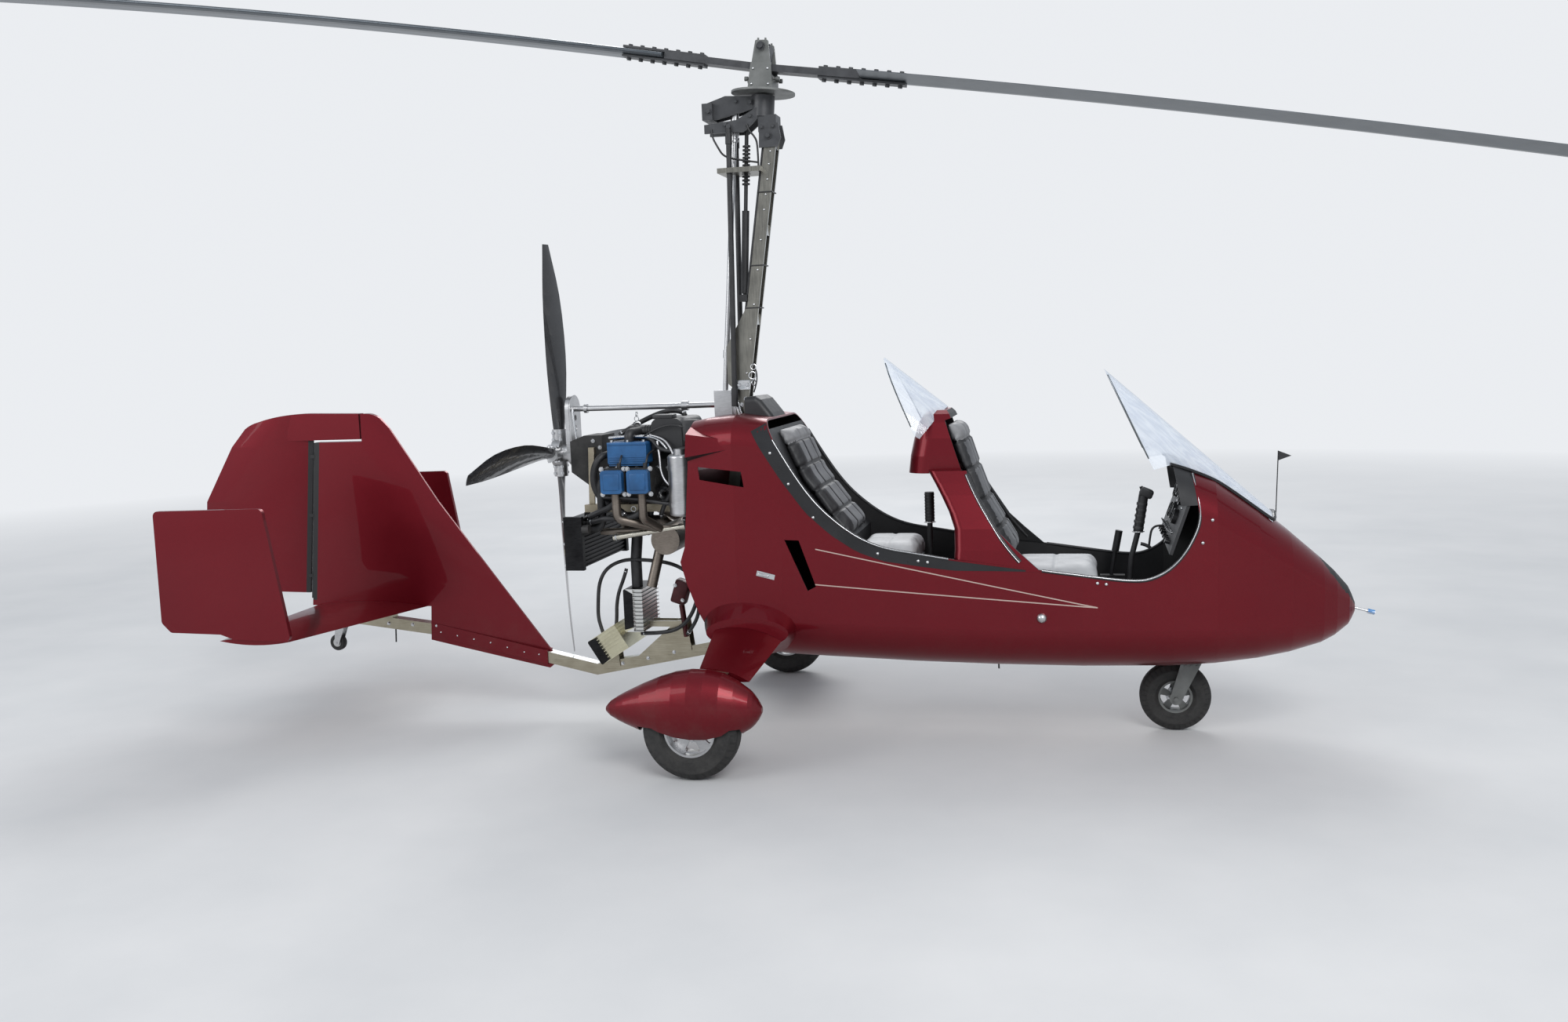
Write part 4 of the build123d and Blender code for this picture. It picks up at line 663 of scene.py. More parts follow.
places = [(on_panel(side * across, up, 0.001), panel_out, 0.01)
          for across, up in ((0.19, 0.245), (0.19, 0.165), (0.1, 0.262), (0.05, 0.165)) for side in (-1, 1)]
copies("panel_screws", dome, places, steel)
toggles = []
for i in range(8):
    y, up = -0.16 + i * 0.045, 0.062
    foot = on_panel(y, up)
    lever = [foot, on_panel(y, up, 0.012), on_panel(y, up + 0.007, 0.026)]
    toggles.append(tube("toggle", lever, 0.0028, None, smooth=False))
    toggles.append(tube("collar", [foot, on_panel(y, up, 0.006)], 0.0062, None, smooth=False))
joined("panel_toggles", toggles, steel)
knobs = [tube("knob", [on_panel(y, 0.028), on_panel(y, 0.028, 0.02)], 0.009, None, smooth=False)
         for y in (-0.19, -0.12, -0.05, 0.05, 0.12, 0.19)]
joined("panel_knobs", knobs, gloss_black)


# Seats: vinyl over foam. The cushions are pale grey with sewn blocks; the backs have dark grey blocks between
# black channels and a paler grey head roll at the top.
def vinyl(name, dark, light):
    """Grained coated fabric."""
    finish = Finish(name, roughness=0.5)
    grain = finish.node("ShaderNodeTexVoronoi", {"feature": "DISTANCE_TO_EDGE"},
                        {"Vector": finish.place, "Scale": 420.0})
    finish.shade(14, dark, light, 5, top=0.75)
    finish.put("Roughness", 0.42 + finish.noise(60) * 0.2)
    finish.bump(grain, 0.25, 0.0006)
    return finish


pale_vinyl = vinyl("pale_vinyl", (0.33, 0.335, 0.345), (0.46, 0.465, 0.475))
grey_vinyl = vinyl("grey_vinyl", (0.16, 0.16, 0.165), (0.24, 0.24, 0.245))
back_vinyl = vinyl("back_vinyl", (0.085, 0.087, 0.092), (0.15, 0.152, 0.16))
black_vinyl = vinyl("black_vinyl", (0.012, 0.012, 0.013), (0.028, 0.028, 0.03))


def slab_mesh(name, line, thick, half, tuck):
    """Closed block that follows a side-view line, with its sides pulled in towards the corners."""
    rows, columns = 26, 22
    vertices, faces = [], []
    for i, (a, b, share) in enumerate(stations(line, rows + 1)):
        at = a + (b - a) * share
        run = (b - a).normalized()
        out = Vector((run.y, -run.x))
        end = min(i, rows - i) / rows
        for j in range(columns + 1):
            v = 2 * j / columns - 1
            pull = 1 - tuck * (1 - min(end * 5, 1)) ** 2
            rim = (1 - abs(v) ** 6) * min(1, end * 12 + 0.35)
            for depth in (0.0, thick * (0.45 + 0.55 * rim)):
                spot = at + out * depth
                vertices.append((spot.x, v * half * pull, spot.y))
    wide = 2 * (columns + 1)
    for i in range(rows):
        for j in range(columns):
            a = i * wide + 2 * j
            faces.append((a, a + 2, a + wide + 2, a + wide))
            faces.append((a + 1, a + wide + 1, a + wide + 3, a + 3))
    for i in range(rows):
        for j in (0, columns):
            a = i * wide + 2 * j
            faces.append((a, a + wide, a + wide + 1, a + 1) if j == 0 else (a, a + 1, a + wide + 1, a + wide))
    for j in range(columns):
        for i in (0, rows):
            a = i * wide + 2 * j
            faces.append((a, a + 1, a + 3, a + 2) if i == 0 else (a, a + 2, a + 3, a + 1))
    data = bpy.data.meshes.new(name)
    data.from_pydata(vertices, [], faces)
    obj = placed(name, data)
    pick(obj)
    face_outwards()
    return obj


def inflate(obj, voxel, cap):
    """Remesh a block evenly and blow it up as stuffed cloth; no point moves further than the cap."""
    remesh = obj.modifiers.new("even", "REMESH")
    remesh.mode = "VOXEL"
    remesh.voxel_size = voxel
    pick(obj)
    bpy.ops.object.modifier_apply(modifier="even")
    start = [vertex.co.copy() for vertex in obj.data.vertices]
    cloth = obj.modifiers.new("cloth", "CLOTH")
    cloth.settings.use_pressure = True
    cloth.settings.uniform_pressure_force = 4
    cloth.settings.effector_weights.gravity = 0
    for step in range(1, 11):
        bpy.context.scene.frame_set(step)
    blown = obj.evaluated_get(bpy.context.evaluated_depsgraph_get()).data
    moved = [vertex.co.copy() for vertex in blown.vertices]
    obj.modifiers.remove(cloth)
    bpy.context.scene.frame_set(1)
    for vertex, a, b in zip(obj.data.vertices, start, moved):
        step = b - a
        vertex.co = a + step * min(1, cap / max(step.length, 1e-9))


def along_line(line, x, z):
    """How far along a side-view line a point lies, in metres, and the line's length."""
    best, total = (1e9, 0.0), 0.0
    for a, b in zip(line, line[1:]):
        a, b = Vector(a), Vector(b)
        run = b - a
        t = max(0.0, min(1.0, (Vector((x, z)) - a).dot(run) / run.length_squared))
        off = (Vector((x, z)) - a - run * t).length
        if off < best[0]:
            best = (off, total + t * run.length)
        total += run.length
    return best[1], total


SEAM_HALF = 0.008
HEAD_ROLL = 0.86


def pad(name, line, thick, half, cap, seams_along, seams_across, depth, finish, fill, second=(), border=0.0):
    """One finished cushion or back pad, with sewn channels; of the second finishes, the first fills channels
    and border, and the other the head roll."""
    obj = slab_mesh(name, line, thick, half, 0.06)
    inflate(obj, 0.012, cap)
    smooth = obj.modifiers.new("round", "SUBSURF")
    smooth.levels = smooth.render_levels = 1
    pick(obj)
    bpy.ops.object.modifier_apply(modifier="round")
    near = []
    for vertex in obj.data.vertices:
        along, span = along_line(line, vertex.co.x, vertex.co.z)
        gaps = [abs(vertex.co.y - y) for y in seams_along] + [abs(along - s * span) for s in seams_across]
        near.append((min(gaps), along / span))
        press = depth * exp(-(min(gaps) / SEAM_HALF) ** 2)
        vertex.co -= vertex.normal * press
    bpy.ops.object.shade_smooth()
    settle(obj, name, finish)
    if second:
        for extra in second:
            obj.data.materials.append(extra.material)
        for face in obj.data.polygons:
            gap = sum(near[i][0] for i in face.vertices) / len(face.vertices)
            share = sum(near[i][1] for i in face.vertices) / len(face.vertices)
            if share > HEAD_ROLL:
                face.material_index = 2
            elif gap < 0.01 or abs(face.center.y) > half - border or share < 0.03:
                face.material_index = 1
    return obj


CUSHION = (0.086, 0.197, 0.008, (0,), (0.5,), 0.004, pale_vinyl, 0.8)
BLOCK_ENDS = (0.22, 0.44, 0.66, HEAD_ROLL)
BACK = (BLOCK_ENDS, 0.008, back_vinyl, 0.7, (black_vinyl, grey_vinyl))
front_cushion = pad("front_cushion", [(1.292, 0.602), (0.958, 0.602)], *CUSHION)
rear_cushion = pad("rear_cushion", [(0.578, 0.692), (0.343, 0.692)], *CUSHION)
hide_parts("seat_cushions")
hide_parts("seat_cushions")
front_back = pad("front_back", [(0.953, 0.716), (0.908, 0.792), (0.829, 0.926), (0.775, 1.078), (0.716, 1.262)],
                 0.04, 0.158, 0.01, (-0.055, 0.055), *BACK, border=0.03)
rear_back = pad("rear_back", [(0.318, 0.808), (0.253, 0.88), (0.129, 1.045), (0.036, 1.255)],
                0.04, 0.197, 0.01, (-0.07, 0.07), *BACK, border=0.055)
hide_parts("seat_backs")
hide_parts("seat_backs")


# Windscreens: blown clear acrylic, 4 mm, milky, with pale streaks and arcs painted in as reflections, with a
# dark cut edge and a sealed joint.
acrylic = Finish("clear_acrylic", (0.74, 0.8, 0.87), roughness=0.04, specular_ior_level=0.8)
glance = acrylic.node("ShaderNodeLayerWeight", {}, {"Blend": 0.35}, out="Facing")
# Pale streaks and arcs in the opacity and colour are painted reflections.
painted_reflection_streaks = acrylic.noise(5, 3, 0.5, acrylic.stretched(0.6, 1.5, 3.0))
painted_reflection_arcs = acrylic.noise(3.0, 2, 0.5, acrylic.stretched(1.2, 6.0, 1.2)).math("PINGPONG", 0.06) * 12
acrylic.put("Alpha", (0.16 + glance * 0.7 + painted_reflection_streaks * 0.1 + painted_reflection_arcs * 0.1).least(0.92))
acrylic.put("Base Color", acrylic.mix(painted_reflection_arcs.least(1.0), (0.66, 0.72, 0.82), (0.88, 0.92, 0.95)))
dress(acrylic, "windscreens")
edge_dark = Finish("acrylic_cut_edge", roughness=0.25)
edge_dark.shade(60, (0.02, 0.03, 0.035), (0.06, 0.075, 0.08))


def screen_edge(name, base, high, count):
    """Bead along a screen's slanted rear edge, found by rays from the side."""
    for side, hand in SIDES:
        points = []
        for i in range(count):
            at = Vector(base).lerp(Vector(high), i / (count - 1))
            for step in range(30):
                point, out = skin_point("windscreens", at.x + 0.002 + step * 0.003, at.y, side)
                if point and point.y * side > 0:
                    points.append(point)
                    break
        if len(points) > 2:
            tube(f"{name}_edge_{hand}", points, 0.0026, edge_dark)


screen_edge("front_screen", (1.555, 0.935), (1.33, 1.425), 12)
screen_edge("rear_screen", (0.575, 1.25), (0.462, 1.5), 8)
seal = []
for i in range(25):
    y = -0.235 + 0.47 * i / 24
    for step in range(160):
        start = Vector((2.0 - step * 0.004, y, 1.8))
        hit, at, normal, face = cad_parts["windscreens"].ray_cast(start, Vector((0, 0, -1)))
        if hit:
            seal.append(at + Vector((0.002, 0, 0.002)))
            break
if len(seal) > 4:
    tube("front_screen_seal", seal, 0.0075, gloss_black)


# Sticks and throttle: black coated tubes with ribbed finger grips, a thumb switch and a brake lever.
black_coat = coat("black_coat", (0.012, 0.012, 0.013), (0.03, 0.03, 0.032))
dress(black_coat, "cockpit_controls", "nose_leg_housing", "slip_pennant", "trim_strut", "control_rods")
ribs = [((0.62, 0, 0.858 + k * 0.0125), UP, 0.0202) for k in range(9)]
copies("rear_grip_ribs", ring(1.0, 0.9, 0.32), ribs, rubber)
ribs = [((1.446 + k * 0.0036, 0, 0.812 + k * 0.0235), (0.15, 0, 1), 0.0212) for k in range(5)]
copies("front_grip_ribs", ring(1.0, 0.88, 0.5), ribs, rubber)
head = plate("grip_head", (1.452, -0.022, 0.938), (1.504, 0.022, 0.972), None, 0.008, turn=("Y", 24),
             relief=0.002)
button = tube("thumb_switch", [(1.462, 0, 0.966), (1.457, 0, 0.981)], 0.007, None, smooth=False)
joined("front_grip_head", [head, button], plastic)
points = [(1.486, 0.0, 0.735), (1.492, 0.0, 0.79), (1.5, 0.0, 0.815), (1.522, 0.0, 0.826), (1.545, 0.0, 0.824)]
tube("brake_lever", points, 0.0045, black_coat)
tube("brake_pivot", [(1.455, 0.0, 0.752), (1.478, 0.0, 0.748), (1.492, 0.0, 0.735)], 0.007, black_coat)
for x, z, name in ((0.62, 0.845, "rear"), (1.446, 0.8, "front")):
    copies(f"{name}_grip_collar", bezel, [((x, 0, z), UP, 0.024)], bare)


# Bare and coated metals of the running gear, rotor head, engine mount, exhaust and tail boom, with the bolts
# along the boom, whose fore part is wider.
dark_anodised = coat("dark_anodised", (0.03, 0.031, 0.034), (0.06, 0.062, 0.066), 0.32)
grey_anodised = coat("grey_anodised", (0.11, 0.115, 0.11), (0.17, 0.175, 0.17), 0.36)
keel_metal = metal("keel_aluminium", (0.3, 0.27, 0.2), (0.46, 0.42, 0.33), 0.22, (2, 40, 40))
# The keel tube's upward faces get a brighter metal: a painted highlight on its top.
keel_painted_highlight = metal("keel_top_painted_highlight", (0.66, 0.66, 0.64), (0.82, 0.82, 0.8), 0.16, (2, 40, 40))
beige = metal("brass_toned_steel", (0.3, 0.26, 0.19), (0.46, 0.41, 0.32), 0.32)
heat_tint = metal("heat_tinted_steel", (0.13, 0.11, 0.095), (0.3, 0.26, 0.22), 0.35)
dress(keel_metal, "keel_tube")
face_finish("keel_tube", keel_painted_highlight, lambda at, to: to.z > 0.75)
dress(bare, "tail_wheel_fork", "right_rim", "left_rim", "propeller_hub", "prerotator_drive")
dress(grey_anodised, "rotor_tower", "nose_fork", "nose_rim")
dress(dark_anodised, "rotor_head", "hub_bar", "blade_straps")
dress(beige, "engine_mount", "main_axles")
dress(heat_tint, "exhaust", "turbocharger")
dress(steel, "nose_probe")
dress(rubber, "cooling_hoses")
places = []
for x, z in ((-0.5, 0.29), (-0.62, 0.262), (-0.74, 0.235), (-1.62, 0.395), (-1.74, 0.398), (-1.86, 0.402),
             (-1.98, 0.415), (-2.08, 0.425)):
    y = 0.0305 if x > -0.7 else 0.0252
    places += [((x, side * y, z), (0, side, 0), 0.012) for side in (-1, 1)]
copies("keel_bolts", hexagon, places, steel)


# Mast: two anodised side plates, grey, with a bright front edge that is a painted highlight, rivets and dark
# cable straps. Wires and a hose run up its rear edge, and rings hang at its foot.
mast_metal = metal("mast_aluminium", (0.15, 0.145, 0.13), (0.3, 0.29, 0.255), 0.26, (30, 30, 2))
mast_painted_highlight = metal("mast_front_painted_highlight", (0.6, 0.6, 0.58), (0.8, 0.8, 0.78), 0.16, (30, 30, 2))
dress(mast_metal, "mast")
# The mast's forward-facing faces above the cockpit get a bright metal: a painted highlight.
face_finish("mast", mast_painted_highlight, lambda at, to: to.x > 0.8 and at.z > 1.45)


def mast_x(z):
    """Middle of the mast at a height."""
    return -0.309 + 0.15374 * (z - 0.29)


places = []
for z in (1.48, 1.62, 1.76, 1.9, 2.02, 2.14, 2.2, 2.26, 2.32, 2.37):
    for side in (-1, 1):
        places.append(((mast_x(z) + 0.004, side * 0.0334, z), (0, side, 0), 0.01))
copies("mast_rivets", dome, places, steel)
bands = []
for z in (1.747, 1.918, 2.21):
    x = mast_x(z)
    loop = [(x + a * 0.029, b * 0.036, z) for a, b in ((-1, -1), (1, -1), (1, 1), (-1, 1), (-1, -1))]
    bands.append(tube("strap", loop, 0.0028, None, smooth=False, sides=1))
joined("mast_straps", bands, rubber)
for name, behind, y, radius in (("mast_wire_loom", 0.031, -0.02, 0.006),
                                ("mast_static_hose", 0.03, 0.016, 0.004)):
    tube(name, [(mast_x(z) - behind, y, z) for z in (1.36, 1.6, 1.85, 2.1, 2.35, 2.42)], radius, rubber)
tube("head_cable", [(-0.225, -0.048, 2.47), (-0.222, -0.052, 2.44), (-0.2, -0.058, 2.4), (-0.18, -0.04, 2.36),
                    (-0.12, -0.03, 2.345), (-0.04, -0.03, 2.33)], 0.004, rubber)
tube("brake_cable", [(-0.075, -0.05, 2.48), (-0.068, -0.052, 2.455),
                     (-0.045, -0.045, 2.43), (-0.035, -0.038, 2.4), (-0.036, -0.0375, 2.3)], 0.004, rubber)
link = ring(1.0, 0.72, 0.28)
places = [((-0.098, -0.036, 1.47), (0.3, -1, 0), 0.017), ((-0.093, -0.04, 1.44), (1, -0.6, 0), 0.014),
          ((-0.092, -0.037, 1.505), (0.2, -1, 0.1), 0.013)]
copies("mast_foot_rings", link, places, steel)
tube("mast_lanyard", [(-0.094, -0.037, 1.52), (-0.08, -0.037, 1.495), (-0.077, -0.037, 1.455),
                      (-0.088, -0.037, 1.415), (-0.094, -0.037, 1.4)], 0.0028, rubber)
plate("mast_foot_bracket", (-0.165, -0.046, 1.412), (-0.108, -0.034, 1.452), steel, 0.002, relief=-0.002)
places = [((-0.155, -0.046, 1.432), RIGHT, 0.013), ((-0.12, -0.046, 1.432), RIGHT, 0.013),
          ((-0.128, -0.0335, 1.372), RIGHT, 0.016), ((-0.15, -0.0335, 1.35), RIGHT, 0.014)]
copies("mast_foot_bolts", hexagon, places, steel)
for i, x in enumerate((-0.188, -0.176)):
    points = [(x, -0.043, 1.405), (x + 0.016, -0.045, 1.355), (x + 0.03, -0.046, 1.312)]
    tube(f"foot_stay_{i}", points, 0.0055, steel)


# Rotor head: dark gimbal plates with pivot bolts. The tower's cheeks carry the teeter bolt and, on each side,
# four cap screws.
HEAD_BOLTS = ((-0.23, 0.06, 2.54, 0.02), (-0.165, 0.046, 2.485, 0.016), (-0.06, 0.034, 2.568, 0.018),
              (0.01, 0.0427, 2.43, 0.022), (-0.12, 0.034, 2.575, 0.014), (-0.06, 0.046, 2.512, 0.014),
              (0.032, 0.0427, 2.465, 0.013), (-0.015, 0.0427, 2.465, 0.013))
places = [((x, side * y, z), (0, side, 0), size) for side in (-1, 1) for x, y, z, size in HEAD_BOLTS]
copies("head_bolts", hexagon, places, dark_anodised)
TEETER_Z = 2.775
places = [((0, side * 0.069, TEETER_Z), (0, side, 0), 0.026) for side in (-1, 1)]
copies("teeter_bolt_heads", hexagon, places, dark_anodised, body="rotor")
tilt = radians(4.5)
places = []
for side in (-1, 1):
    for x, z in ((-0.03, -0.085), (0.03, -0.085), (-0.034, -0.145), (0.034, -0.145)):
        at = Vector((x * cos(tilt) + z * sin(tilt), side * 0.0611, TEETER_Z + z * cos(tilt) - x * sin(tilt)))
        places.append((at, (0, side, 0), 0.011))
copies("tower_screws", dome, places, steel, body="rotor_tower")


# Rotor blades: bonded aluminium section, anodised slate grey, with a faint grain along the span.
blade_metal = metal("blade_aluminium", (0.075, 0.088, 0.1), (0.125, 0.14, 0.155), 0.24, (1, 60, 60), 0.7)
dress(blade_metal, "rotor_blades")


# Propeller blades: black gel coat over carbon, with a straw-coloured erosion strip along the leading edge.
prop_black = Finish("propeller_black", coat_roughness=0.05)
prop_black.shade(10, (0.008, 0.008, 0.009), (0.02, 0.02, 0.022), 4)
prop_black.put("Roughness", 0.22 + prop_black.noise(30) * 0.15)
prop_black.put("Coat Weight", 0.7 + prop_black.noise(12) * 0.2)
dress(prop_black, "propeller_blades")
straw = Finish("erosion_strip", coat_roughness=0.1, coat_weight=0.3)
straw.shade(30, (0.3, 0.26, 0.07), (0.52, 0.47, 0.16), 4)
straw.put("Roughness", 0.35 + straw.noise(60) * 0.2)


PROP_X, PROP_Z = -0.985, 1.164


def leading_edge(at, to):
    """Whether a propeller face lies on the outer part of a leading edge."""
    y, z = at.y, at.z - PROP_Z
    reach = hypot(y, z)
    return reach > 0.42 and (to.y * z - to.z * y) / reach > 0.62


face_finish("propeller_blades", straw, leading_edge)
places = []
for k in range(4):
    turn = Matrix.Rotation(radians(90 * k), 3, "X")
    for x in (-0.016, 0.016):
        for r in (0.058, 0.088):
            for side in (-1, 1):
                at = turn @ Vector((x, side * 0.0285, r))
                places.append((Vector((PROP_X, 0, PROP_Z)) + at, turn @ Vector((0, side, 0)), 0.012))
for k in range(6):
    spoke = Vector((0, cos(k * pi / 3 + 0.5), sin(k * pi / 3 + 0.5)))
    places.append((Vector((-1.0355, 0, PROP_Z)) + spoke * 0.025, (-1, 0, 0), 0.012))
copies("hub_bolts", hexagon, places, steel, body="propeller")


# Engine: flat four with black cast crankcase and cylinders, blue moulded covers and black hoses and looms.
engine_black = coat("engine_black", (0.01, 0.01, 0.01), (0.035, 0.033, 0.032), 0.5, 120)
dress(engine_black, "engine_case", "gearbox")
blue = Finish("blue_cover", metallic=0.1)
blue.shade(16, (0.01, 0.062, 0.165), (0.018, 0.105, 0.27), 5, top=0.75)
blue.put("Roughness", 0.34 + blue.noise(60) * 0.2)
blue.bump(blue.noise(500, 2), 0.12, 0.0005)
dress(blue, "valve_covers")
dress(bare, "oil_tank")
CYLINDERS = (-0.652, -0.538)
for side, hand in SIDES:
    y = side * 0.2055
    bars = []
    for k in range(5):
        z = 1.118 + k * 0.0085
        bars.append(plate("rib", (-0.684, y - 0.0018, z), (-0.526, y + 0.0018, z + 0.004), None, 0.001))
    bars.append(plate("flange", (-0.69, y - 0.003, 1.204), (-0.52, y + 0.003, 1.216), None, 0.002))
    joined(f"intake_cover_ribs_{hand}", bars, blue)
    y = side * 0.2845
    bars = [plate("panel", (x - 0.034, y - 0.002, 1.024),
                  (x + 0.034, y + 0.002, 1.092), None, 0.005, relief=0.0012) for x in CYLINDERS]
    joined(f"valve_cover_panels_{hand}", bars, blue)
    places = [((x + dx, side * 0.256, z), (0, side, 0), 0.015) for x in CYLINDERS for dx, z in
              ((-0.049, 1.11), (0.049, 1.11), (-0.048, 1.006), (0.048, 1.006))]
    places += [((x, side * 0.19, 1.2165), UP, 0.012) for x in (-0.675, -0.605, -0.535)]
    copies(f"cylinder_bolts_{hand}", hexagon, places, steel)
    y = side * 0.15
    tube(f"fuel_rail_{hand}", [(-0.7, y, 1.232), (-0.64, y, 1.236), (-0.52, y, 1.236), (-0.47, y, 1.215),
                               (-0.44, side * 0.155, 1.17)], 0.0065, steel)
    y = side * 0.235
    for k, x in enumerate(CYLINDERS):
        tube(f"plug_lead_{hand}_{k}", [(x + 0.02, y, 1.112), (x + 0.03, side * 0.232, 1.15),
                                       (x + 0.02, side * 0.19, 1.165), (x + 0.05, side * 0.13, 1.19),
                                       (-0.5, side * 0.09, 1.2)], 0.0045, rubber)
        tube(f"plug_boot_{hand}_{k}", [(x + 0.02, y, 1.105), (x + 0.022, y, 1.132)], 0.009, rubber)

clamp = ring(1.0, 0.93, 0.42)


def hose(name, points, radius, clamped):
    """Bent hose, with a worm clamp near each end if it is clamped."""
    tube(name, points, radius, rubber)
    if clamped:
        places = []
        for a, b in ((points[0], points[1]), (points[-1], points[-2])):
            way = (Vector(b) - Vector(a)).normalized()
            places.append((Vector(a) + way * 0.012, way, radius * 1.1))
        copies(f"{name}_clamps", clamp, places, steel)


HOSES = [
    ("coolant_front", [(-0.64, -0.215, 1.004), (-0.652, -0.22, 0.975), (-0.69, -0.205, 0.945),
                       (-0.745, -0.19, 0.925), (-0.79, -0.18, 0.905), (-0.812, -0.165, 0.893)], 0.013),
    ("coolant_rear",
     [(-0.538, -0.215, 1.004), (-0.53, -0.222, 0.965), (-0.56, -0.215, 0.915),
      (-0.64, -0.205, 0.895), (-0.72, -0.2, 0.9), (-0.76, -0.19, 0.885), (-0.8, -0.185, 0.88)], 0.012),
    ("breather", [(-0.385, -0.15, 1.165), (-0.375, -0.168, 1.13), (-0.392, -0.196, 1.06), (-0.43, -0.2, 0.99),
                  (-0.47, -0.19, 0.93), (-0.48, -0.17, 0.9)], 0.0095),
    ("oil_feed", [(-0.372, -0.19, 0.905), (-0.376, -0.175, 0.86),
                  (-0.36, -0.12, 0.76), (-0.352, -0.085, 0.64), (-0.372, -0.065, 0.52),
                  (-0.43, -0.05, 0.42), (-0.52, -0.045, 0.375), (-0.64, -0.045, 0.375)], 0.0085),
    ("oil_return", [(-0.812, -0.045, 0.362), (-0.822, -0.045, 0.395), (-0.834, -0.045, 0.44),
                    (-0.832, -0.045, 0.5), (-0.82, -0.05, 0.6), (-0.78, -0.05, 0.665), (-0.7, -0.05, 0.7),
                    (-0.61, -0.055, 0.7), (-0.5, -0.06, 0.69), (-0.42, -0.07, 0.66), (-0.37, -0.075, 0.6),
                    (-0.358, -0.075, 0.52), (-0.38, -0.065, 0.43), (-0.43, -0.05, 0.375)], 0.008),
    ("oil_inner",
     [(-0.757, -0.045, 0.384), (-0.75, -0.048, 0.42), (-0.745, -0.052, 0.46),
      (-0.742, -0.055, 0.5), (-0.728, -0.06, 0.56), (-0.7, -0.06, 0.62), (-0.69, -0.05, 0.66)], 0.008),
    ("case_hose",
     [(-0.7, -0.1, 1.15), (-0.716, -0.12, 1.165), (-0.748, -0.155, 1.15), (-0.775, -0.16, 1.095),
      (-0.775, -0.158, 1.02), (-0.735, -0.15, 0.96), (-0.68, -0.14, 0.93), (-0.645, -0.135, 0.9)], 0.015),
    ("top_hose", [(-0.44, 0.1, 1.306), (-0.45, 0.105, 1.325), (-0.52, 0.09, 1.33), (-0.6, 0.07, 1.3),
                  (-0.68, 0.07, 1.26), (-0.73, 0.06, 1.23)], 0.011),
    ("loom_low", [(-0.33, -0.15, 0.98), (-0.37, -0.19, 0.95), (-0.45, -0.215, 0.96), (-0.56, -0.235, 0.985),
                  (-0.66, -0.23, 0.99), (-0.72, -0.19, 0.985)], 0.0075),
    ("loom_high", [(-0.315, -0.17, 1.18), (-0.36, -0.18, 1.19), (-0.42, -0.176, 1.17), (-0.48, -0.172, 1.185),
                   (-0.515, -0.15, 1.23), (-0.6, -0.12, 1.235), (-0.69, -0.1, 1.225)], 0.0085),
    ("throttle_wire", [(-0.31, -0.09, 1.24), (-0.35, -0.165, 1.265),
                       (-0.42, -0.17, 1.285), (-0.5, -0.165, 1.262), (-0.545, -0.155, 1.235)], 0.0035),
]
for name, points, radius in HOSES:
    hose(name, points, radius, clamped=radius > 0.0078 and "loom" not in name)
braid = metal("steel_braid", (0.3, 0.3, 0.31), (0.55, 0.55, 0.56), 0.3, (300, 300, 300))
BRAIDED = [
    ("fuel_feed", [(-0.312, -0.2, 1.07), (-0.35, -0.21, 1.09), (-0.395, -0.195, 1.13), (-0.43, -0.172, 1.2),
                   (-0.47, -0.16, 1.232), (-0.52, -0.15, 1.24)], 0.0055),
    ("fuel_return", [(-0.312, -0.215, 1.02), (-0.35, -0.225, 1.01), (-0.42, -0.222, 1.03),
                     (-0.458, -0.215, 1.08), (-0.47, -0.18, 1.15), (-0.485, -0.16, 1.215)], 0.005),
]
for name, points, radius in BRAIDED:
    tube(name, points, radius, braid)
tube("belt_cover_bar", [(-0.895, -0.052, 1.352), (-0.892, -0.06, 1.3), (-0.88, -0.06, 1.215)], 0.005, steel)
pipe_steel = metal("pipe_steel", (0.5, 0.47, 0.4), (0.72, 0.69, 0.6), 0.2)
tube("cross_pipe", [(-0.7, -0.158, 0.811), (-0.56, -0.156, 0.832), (-0.43, -0.154, 0.85),
                    (-0.37, -0.152, 0.858), (-0.308, -0.15, 0.872)], 0.0125, pipe_steel)
copies("cross_pipe_clamps", clamp, [((x, -0.157 + 0.005 * k, 0.8125 + 0.021 * k), (1, 0, 0.14), 0.0145)
                                    for k, x in enumerate((-0.69, -0.55, -0.41))], steel)
x = -0.627
places = [((x, 0.0, 1.322), (1, 0, 0), 0.012),
          ((x, 0.0, 1.302), (0, 1, 0), 0.011), ((x, 0.0, 1.27), (0.2, 1, 0), 0.022)]
copies("lifting_ring", link, places, steel)
tube("lifting_eye", [(x, 0.0, z) for z in (1.2465, 1.225, 1.168)], 0.006, engine_black)
places = [((-0.77 - 0.03 * (k % 2), side * 0.0785, 1.02 + 0.028 * k), (0, side, 0), 0.013)
          for side in (-1, 1) for k in range(8)]
copies("gearbox_bolts", hexagon, places, steel)
places = [((-0.735 + 0.045 * k, side * 0.0985, 1.1), (0, side, 0), 0.012)
          for k in range(7) for side in (-1, 1)]
copies("case_bolts", hexagon, places, steel)
coil = plate("coil_pack", (-0.505, -0.148, 1.306), (-0.42, -0.08, 1.322), None, 0.003, relief=0.002)
relay = plate("relay_box", (-0.372, -0.165, 1.21), (-0.308, -0.12, 1.3), None, 0.004, relief=0.002)
joined("engine_boxes", [coil, relay], plastic)
tube("starter_motor", [(-0.7, 0.06, 0.905), (-0.6, 0.06, 0.905)], 0.034, engine_black, smooth=False)
copies("oil_filter", ring(1.0, 0.2, 2.2), [((-0.462, -0.098, 0.995), RIGHT, 0.036)], gloss_black)
plate("drain_lever", (-0.6, -0.182, 0.905), (-0.56, -0.176, 0.916), steel, 0.002, turn=("Y", -35))
copies("drain_eye", link, [((-0.597, -0.182, 0.935), (0, 1, 0), 0.012)], steel)


